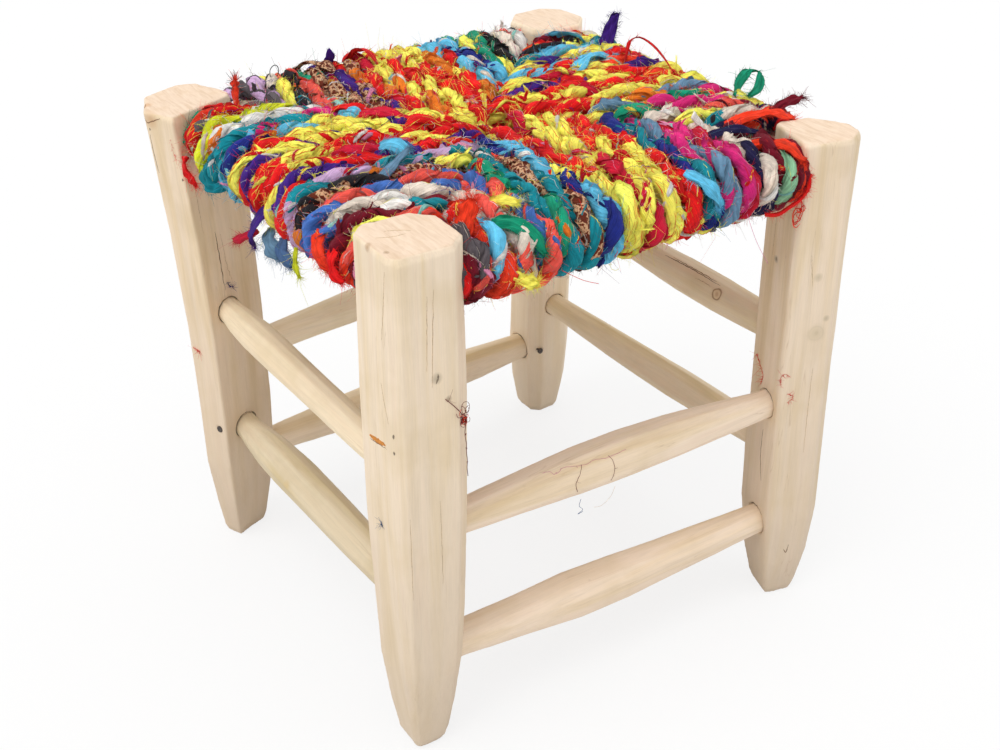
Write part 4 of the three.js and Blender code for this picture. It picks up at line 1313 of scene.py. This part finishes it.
# Rags that stand off the seat, in millimetres: cloth, width, thickness, then the path
RAGS = [
    ("purple", 10, 0.5, [(150, 67, 356), (155, 68, 366), (160, 69, 376), (164, 70, 384)]),
    ("lightblue", 12, 0.5, [(100, 34, 360), (110, 37, 366), (122, 39, 367), (131, 40, 361)]),
    ("red", 3, 0.7, [(139, 26, 360), (144, 31, 367), (150, 35, 373), (157, 33, 375), (159, 20, 372),
                     (155, 2, 368), (150, -14, 364), (147, -32, 361)]),
    ("green", 7, 0.5, [(158, -70, 360), (168, -63, 366), (179, -60, 371), (185, -65, 369), (176, -73, 363),
                       (165, -76, 360)]),
    ("maroon", 7, 0.8, [(145, -116, 361), (156, -114, 366), (166, -116, 369), (173, -118, 370)]),
    ("redorange", 9, 2.6, [(-131, 102, 358), (-129, 106, 366), (-127, 110, 373), (-126, 112, 376)]),
    ("red", 10, 0.7, [(-23, 152, 359), (-18, 144, 368), (-13, 134, 370), (-10, 123, 361)]),
    ("crimson", 11, 3.6, [(-72, 37, 361), (-65, 29, 366), (-58, 20, 366), (-51, 12, 361)]),
    ("red", 8, 1.6, [(-86, 62, 360), (-77, 50, 366), (-68, 40, 365), (-60, 34, 361)]),
    ("red", 7, 1.6, [(-54, 15, 362), (-45, 4, 366), (-36, -5, 361)]),
    ("lightblue", 10, 0.6, [(-92, -18, 360), (-87, -27, 367), (-84, -37, 367), (-84, -43, 361)]),
    ("bluegrey", 7, 1.4, [(-114, -61, 360), (-104, -57, 364), (-94, -52, 367), (-85, -48, 370)]),
    ("purple", 8, 1.0, [(-165, -14, 340), (-172, -8, 328), (-173, -1, 317), (-169, 3, 308)]),
    ("crimson", 6, 4.0, [(-167, 2, 318), (-171, 8, 314), (-174, 14, 310), (-175, 20, 307)]),
    ("red", 8, 1.4, [(-146, 131, 353), (-141, 128, 356), (-136, 125, 356), (-133, 121, 353)]),
    ("red", 7, 1.6, [(-167, 123, 349), (-170, 124, 340), (-170, 123, 332), (-168, 121, 325)]),
    ("red", 7, 1.8, [(-167, 112, 331), (-170, 109, 326), (-170, 103, 321), (-168, 97, 316)]),
    ("bluegrey", 11, 1.6, [(-163, -10, 324), (-168, -17, 319), (-169, -26, 316), (-168, -33, 315)]),
    ("slateblue", 9, 1.6, [(-163, -28, 324), (-168, -35, 319), (-168, -42, 316), (-167, -47, 314)]),
    ("lime", 4, 0.6, [(-166, -52, 328), (-169, -55, 319), (-168, -57, 311)]),
    ("redorange", 8, 1.0, [(-165, -86, 352), (-171, -92, 346), (-172, -98, 340), (-169, -103, 335)]),
    ("red", 6, 1.2, [(-165, -103, 348), (-171, -108, 343), (-172, -113, 337), (-169, -117, 333)]),
    ("redorange", 11, 0.8, [(-110, -146, 356), (-108, -147, 364), (-105, -147, 371), (-103, -147, 377)]),
    ("print", 9, 0.8, [(-62, 158, 357), (-56, 147, 366), (-49, 134, 366), (-42, 120, 360)]),
    ("lightblue", 10, 2.4, [(40, -157, 362), (46, -167, 358), (51, -173, 351), (54, -174, 343)]),
    ("redorange", 9, 1.2, [(116, -107, 360), (131, -116, 366), (146, -122, 366), (158, -127, 361)]),
    ("redorange", 9, 3.2, [(106, -139, 359), (116, -149, 361), (123, -160, 359), (127, -168, 352)]),
    ("navy", 7, 0.8, [(92, -118, 361), (108, -126, 365), (122, -134, 361)]),
    ("yellow", 7, 0.6, [(-80, -128, 361), (-76, -136, 366), (-70, -143, 365)]),
    ("teal", 10, 3.0, [(-163, 84, 336), (-168, 78, 329), (-167, 70, 324), (-161, 62, 325)]),
    ("yellow", 8, 0.8, [(-96, -164, 342), (-92, -172, 338), (-86, -176, 334), (-80, -177, 332)]),
    ("green", 9, 1.6, [(-92, -150, 361), (-84, -158, 362), (-76, -166, 356), (-72, -172, 346)]),
    ("lightblue", 8, 0.8, [(146, 84, 360), (140, 92, 365), (132, 100, 365), (126, 110, 360)]),
    ("yellow", 8, 0.8, [(-20, 168, 352), (-30, 174, 342), (-38, 172, 330)]),
    ("crimson", 7, 0.8, [(172, 60, 348), (176, 50, 336), (172, 42, 326)]),
]


RAG_SIDES = 16
RAG_THREADS = 22 / MM


def rag(tubes, fuzz, name, width, thickness, places):
    """A folded strip of cloth along a path, frayed at its edges and far end."""
    count = 22
    path = smooth_path(places, count)
    share = np.linspace(0, 1, count)
    ahead = unit(np.gradient(path, axis=0))
    under_seat = np.array([0, 0, SEAT_HEIGHT * 0.6])
    across = unit(np.cross(ahead, unit(path - under_seat)))
    over = np.cross(across, ahead)
    colour = tinted(name)
    wide = 0.5 * width * (1 + 0.12 * waves(share, 0.5)) * np.interp(share, [0, 0.12, 0.8, 1], [0.6, 1, 0.9, 0.45])
    theta = ring_angles(RAG_SIDES)
    spread = wide[:, None] * np.cos(theta)
    ripple = waves(share, 0.6)[:, None] * 0.16 * width
    fold = ripple * np.cos(1.7 * math.pi * np.cos(theta)[None, :] + 2 * share[:, None])
    depth = 0.5 * thickness * np.sin(theta) * (1 + 0.25 * np.cos(6 * theta)) + fold
    rings = path[:, None] + spread[..., None] * across[:, None] + depth[..., None] * over[:, None]
    lay = lay_of(np.broadcast_to(theta, depth.shape), 0.02 * share)
    tubes.add(rings, lay=lay, dye=colour, printed=name == "print")
    number = int(RAG_THREADS * width)
    ring = np.where(nprng.random(number) < 0.45, count - 1 - nprng.integers(0, 2, number),
                    nprng.integers(2, count, number))
    spot = np.where(ring > count - 3, nprng.uniform(-1, 1, number), nprng.choice([-1, 1], number))
    feet = path[ring] + across[ring] * (spot * wide[ring])[:, None]
    heading = unit(across[ring] * spot[:, None] * 0.7 + ahead[ring] * 0.8 + nprng.normal(0, 0.3, (number, 3)))
    tone = shaded(colour, nprng.uniform(0.9, 1.2, number))
    threads(fuzz, feet, heading, nprng.normal(0, 0.5, (number, 3)), nprng.gamma(3.0, 0.7, number) * MM + 0.8 * MM,
            nprng.uniform(0.08, 0.16, number) * MM, tone)


def loose_thread(fuzz, start, length, radius, name, lift):
    """A long thread that lies curled on the seat."""
    count = 14
    turn = rng.uniform(0, TAU) + np.cumsum(nprng.normal(0, 0.55, count))
    level = lift * np.sin(np.linspace(0, math.pi, count)) * nprng.uniform(0.5, 1.3, count)
    step = length / count
    path = start + np.cumsum(np.stack([np.cos(turn) * step, np.sin(turn) * step, np.zeros(count)], -1), 0)
    path[:, 2] += level
    wire(fuzz, path, radius, tinted(name))


# Rags stuffed between each leg and the first turn, on the corner's two rails: front left, front right, back right,
# back left
WAD_CLOTHS = [
    [("grey", "red", "maroon"), ("redorange", "pink", "maroon")],
    [("navy", "cream", "red"), ("maroon", "redorange", "maroon")],
    [("red", "cream", "black"), ("white", "red", "pink")],
    [("grey", "green", "redorange"), ("cream", "lilac", "grey")],
]
WAD_RINGS = 56
WAD_LENGTH = 60 * MM
WAD_TWIST = TAU / (30 * MM)
WAD_START, WAD_END = math.radians(62), math.radians(298)


def wad(tubes, fuzz, corner, second, cloths):
    """Crumpled rags wound round a rail beside its leg, which fill the corner."""
    for index, name in enumerate(cloths):
        share = np.linspace(0, 1, WAD_RINGS)
        angle = np.linspace(WAD_START, WAD_END, WAD_RINGS) + 0.12 * waves(share, 0.4)
        # Beside the front right leg they stand out as far as the rope
        showing = corner == 1 and second
        reach = ((16.6 if showing else 13.4 + index) + 0.7 * waves(share, 0.5)) * MM
        place = ((26.4 if showing else 28.6) + 2.7 * (index - 1) + 0.6 * waves(share, 0.6)) * MM
        out = reach * np.cos(angle)
        x, y = corner_place(corner, out, place) if second else corner_place(corner, place, out)
        path = np.stack([x + SEAT_CENTRE.x, y + SEAT_CENTRE.y, SEAT_HEIGHT + reach * np.sin(angle)], -1)
        ahead = unit(np.gradient(path, axis=0))
        side_a = unit(np.cross(ahead, np.array([0.1, 0.2, 0.97])))
        thick = rng.uniform(3.1, 3.8) * MM * np.clip(np.sin(share * math.pi) * 4, 0.3, 1)
        side_b = np.cross(ahead, side_a)
        rings, lay, folded = strip_rings(path, side_a, side_b, thick, share * WAD_LENGTH, WAD_TWIST)
        colour = tinted(name)
        tubes.add(rings, lay=lay, dye=colour, printed=False)
        fringe(fuzz, rings, folded, name, colour)


# Single threads beside the rope, in millimetres: cloth, radius, number of points, then the path
SINGLE_THREADS = [
    ("pink", 0.16, 24, [(77, -174, 332), (80, -177, 321), (87, -176, 309), (98, -175, 293)]),
    ("red", 0.2, 20, [(-60, -172, 332), (-52, -178, 327), (-44, -176, 322), (-36, -175, 318)]),
]
HEM = [(98, -169, 325), (107, -170, 323), (115, -171, 325.5), (125, -171, 329), (132, -170, 335), (134, -168, 343)]
SEAT_THREADS, RIM_THREADS = 170, 110
SEAT_THREAD_CLOTHS = ("cream", "yellow", "red", "yellow", "pink", "cream", "teal", "black", "white", "purple")
RIM_THREAD_CLOTHS = ("cream", "yellow", "red", "yellow", "pink", "cream", "lightblue", "white")
SEAT_REACH, LEG_REACH = 140 * MM, 95 * MM


def build_tuft(fuzz):
    """The stiff grey tuft at the back left leg."""
    count = 16
    heading = unit(np.array([0.0, 0.1, 0.6]) + nprng.normal(0, 0.35, (count, 3)))
    threads(fuzz, np.tile(mm([-126, 112, 375]), (count, 1)), heading, nprng.normal(0, 0.2, (count, 3)),
            nprng.uniform(5, 10, count) * MM, np.full(count, 0.3 * MM), tinted("grey"))


def build_hoop(fuzz):
    """A black thread that stands in a loop beside the back left leg."""
    turn = np.linspace(0.3, TAU * 1.15, 26)
    hoop = mm([-84, 141, 366]) + mm(np.stack([4.6 * np.cos(turn), 2.5 * np.cos(turn), 4.6 * np.sin(turn)], -1))
    wire(fuzz, hoop, 0.35 * MM, tinted("black"))


def build_hem(fuzz):
    """The red threads that curl and hang beside the front right leg, and the frayed hem above them."""
    for name in ("redorange", "red", "redorange", "red", "redorange"):
        turn = np.linspace(0, TAU * rng.uniform(0.7, 1.5), 30) * rng.choice((-1, 1)) + rng.uniform(0, TAU)
        size = rng.uniform(2.6, 5.2) * (1 + 0.45 * waves(turn, 3.5)) * MM
        curl = np.stack([(126 + rng.uniform(-1.5, 1.5)) * MM + size * 0.7 * np.cos(turn),
                         -169 * MM + 1.2 * MM * np.sin(0.7 * turn),
                         317 * MM + size * 1.1 * np.sin(turn) + np.linspace(6, -5, 30) * MM], -1)
        wire(fuzz, curl, rng.uniform(0.2, 0.34) * MM, tinted(name))
        fluff(fuzz, curl, np.array([0, -0.3, 0.2]), name, 9, 2.2 * MM)
    hem = smooth_path(mm(HEM), 60)
    for name in ("red", "redorange", "red"):
        wire(fuzz, hem + nprng.normal(0, 0.6, 3) * MM, rng.uniform(0.9, 1.3) * MM, tinted(name))
        fluff(fuzz, hem, np.array([0, -0.6, -0.2]), name, 120, 2.4 * MM)


def build_long_threads(fuzz):
    """Long threads that lie on the seat, and shorter ones that hang from its rim."""
    for name, radius, count, places in SINGLE_THREADS:
        wire(fuzz, smooth_path(mm(places), count), radius * MM, tinted(name))
    for _ in range(SEAT_THREADS):
        start = np.array([rng.uniform(-SEAT_REACH, SEAT_REACH) + SEAT_CENTRE.x,
                          rng.uniform(-SEAT_REACH, SEAT_REACH) + SEAT_CENTRE.y, rng.uniform(359.5, 363) * MM])
        if min(abs(start[0]), abs(start[1])) > LEG_REACH:
            continue
        name = rng.choice(SEAT_THREAD_CLOTHS)
        loose_thread(fuzz, start, rng.uniform(10, 34) * MM, rng.uniform(0.1, 0.18) * MM, name, 2.5 * MM)
    for _ in range(RIM_THREADS):
        along = rng.uniform(-125, 125) * MM
        out = rng.uniform(17, 19) * MM
        angle = rng.uniform(-0.9, 0.9)
        x, y = corner_place(rng.randrange(4), along + SPAN_X / 2, -out * math.cos(angle))
        start = np.array([x + SEAT_CENTRE.x, y + SEAT_CENTRE.y, SEAT_HEIGHT + out * math.sin(angle)])
        name = rng.choice(RIM_THREAD_CLOTHS)
        steps = nprng.normal(0, 0.5, (10, 3)) + np.array([0, 0, -0.5])
        path = start + np.cumsum(unit(steps) * rng.uniform(0.8, 2.0) * MM, 0)
        wire(fuzz, smooth_path(path, 20), rng.uniform(0.1, 0.17) * MM, tinted(name))


def build_rags(cloth, thread):
    rags, fuzz = Tubes(), Tubes()
    for name, width, thickness, places in RAGS:
        rag(rags, fuzz, name, width * MM, thickness * MM, mm(places))
    for corner, pair in enumerate(WAD_CLOTHS):
        for second, cloths in enumerate(pair):
            wad(rags, fuzz, corner, second, cloths)
    for build in (build_tuft, build_hoop, build_hem, build_long_threads):
        build(fuzz)
    rags.build("rope_rags", cloth)
    fuzz.build("rope_loose_threads", thread)


# Floor, light and camera
FLOOR_RADIUS = 6
PAPER_GLOW = 0.8


def build_floor():
    bpy.ops.mesh.primitive_circle_add(vertices=96, radius=FLOOR_RADIUS, fill_type="NGON")
    floor = bpy.context.object
    floor.name = "floor"
    material, tree, shader = new_material("floor_paper", Base_Color=grey(0.78), Roughness=0.9,
                                          Specular_IOR_Level=0.1)
    # To the camera the paper is near white, and keeps a soft shadow
    white = node(tree, "ShaderNodeEmission")
    settle(white, Strength=1.0)
    blend = node(tree, "ShaderNodeMixShader")
    seen = math_node(tree, "MULTIPLY", node(tree, "ShaderNodeLightPath").outputs["Is Camera Ray"], PAPER_GLOW)
    feed(tree, blend.inputs, (seen, shader.outputs[0], white.outputs[0]))
    link(tree, blend.outputs[0], tree.nodes["Material Output"].inputs["Surface"])
    floor.data.materials.append(material)


def sun(name, toward, angle, strength):
    data = bpy.data.lights.new(name, "SUN")
    data.angle = math.radians(angle)
    data.energy = strength
    made = bpy.data.objects.new(name, data)
    bpy.context.scene.collection.objects.link(made)
    made.rotation_euler = Vector(toward).to_track_quat("-Z", "Y").to_euler()


def build_light():
    world = bpy.data.worlds.new("studio")
    bpy.context.scene.world = world
    world.use_nodes = True
    tree = world.node_tree
    tree.nodes.clear()
    output, background = node(tree, "ShaderNodeOutputWorld"), node(tree, "ShaderNodeBackground")
    settle(background, Color=grey(1.0))
    path = node(tree, "ShaderNodeLightPath")
    # Full white where it is seen, and dimmer where it only lights
    seen = math_node(tree, "MAXIMUM", path.outputs["Is Camera Ray"], path.outputs["Is Glossy Ray"])
    seen = math_node(tree, "MAXIMUM", seen, path.outputs["Is Transmission Ray"])
    link(tree, math_node(tree, "MULTIPLY_ADD", seen, 1 - AMBIENT, AMBIENT), background.inputs["Strength"])
    link(tree, background.outputs[0], output.inputs["Surface"])
    sun("key", toward=(0.95, 0.1, -1.5), angle=40, strength=1.2)
    sun("top", toward=(-0.1, 0.22, -1.5), angle=60, strength=1.0)


def build_camera():
    azimuth, elevation = math.radians(CAMERA_AZIMUTH), math.radians(CAMERA_ELEVATION)
    back = Vector((math.sin(azimuth) * math.cos(elevation), -math.cos(azimuth) * math.cos(elevation),
                   math.sin(elevation)))
    right = (-back).cross(Vector((0, 0, 1))).normalized()
    up = right.cross(-back)
    turn = Matrix.Rotation(math.radians(CAMERA_ROLL), 3, "Z")
    pose = Matrix((right, up, back)).transposed() @ turn
    data = bpy.data.cameras.new("camera")
    data.sensor_width = SENSOR_WIDTH
    data.lens = SENSOR_WIDTH * CAMERA_FOCAL_PIXELS / IMAGE_WIDTH_PIXELS
    made = bpy.data.objects.new("camera", data)
    made.matrix_world = Matrix.Translation(CAMERA_PLACE) @ pose.to_4x4()
    bpy.context.scene.collection.objects.link(made)
    bpy.context.scene.camera = made


bpy.context.scene.view_settings.view_transform = "Standard"
build_camera()
build_floor()
build_light()
build_wood()
cloth = cloth_material()
thread = mottled_material("rag_thread", 300, 2, [(0.3, 0.8), (0.6, 1.0)], Roughness=0.8, Specular_IOR_Level=0.2)
build_rope(cloth, thread)
build_rags(cloth, thread)
build_clinging(thread)
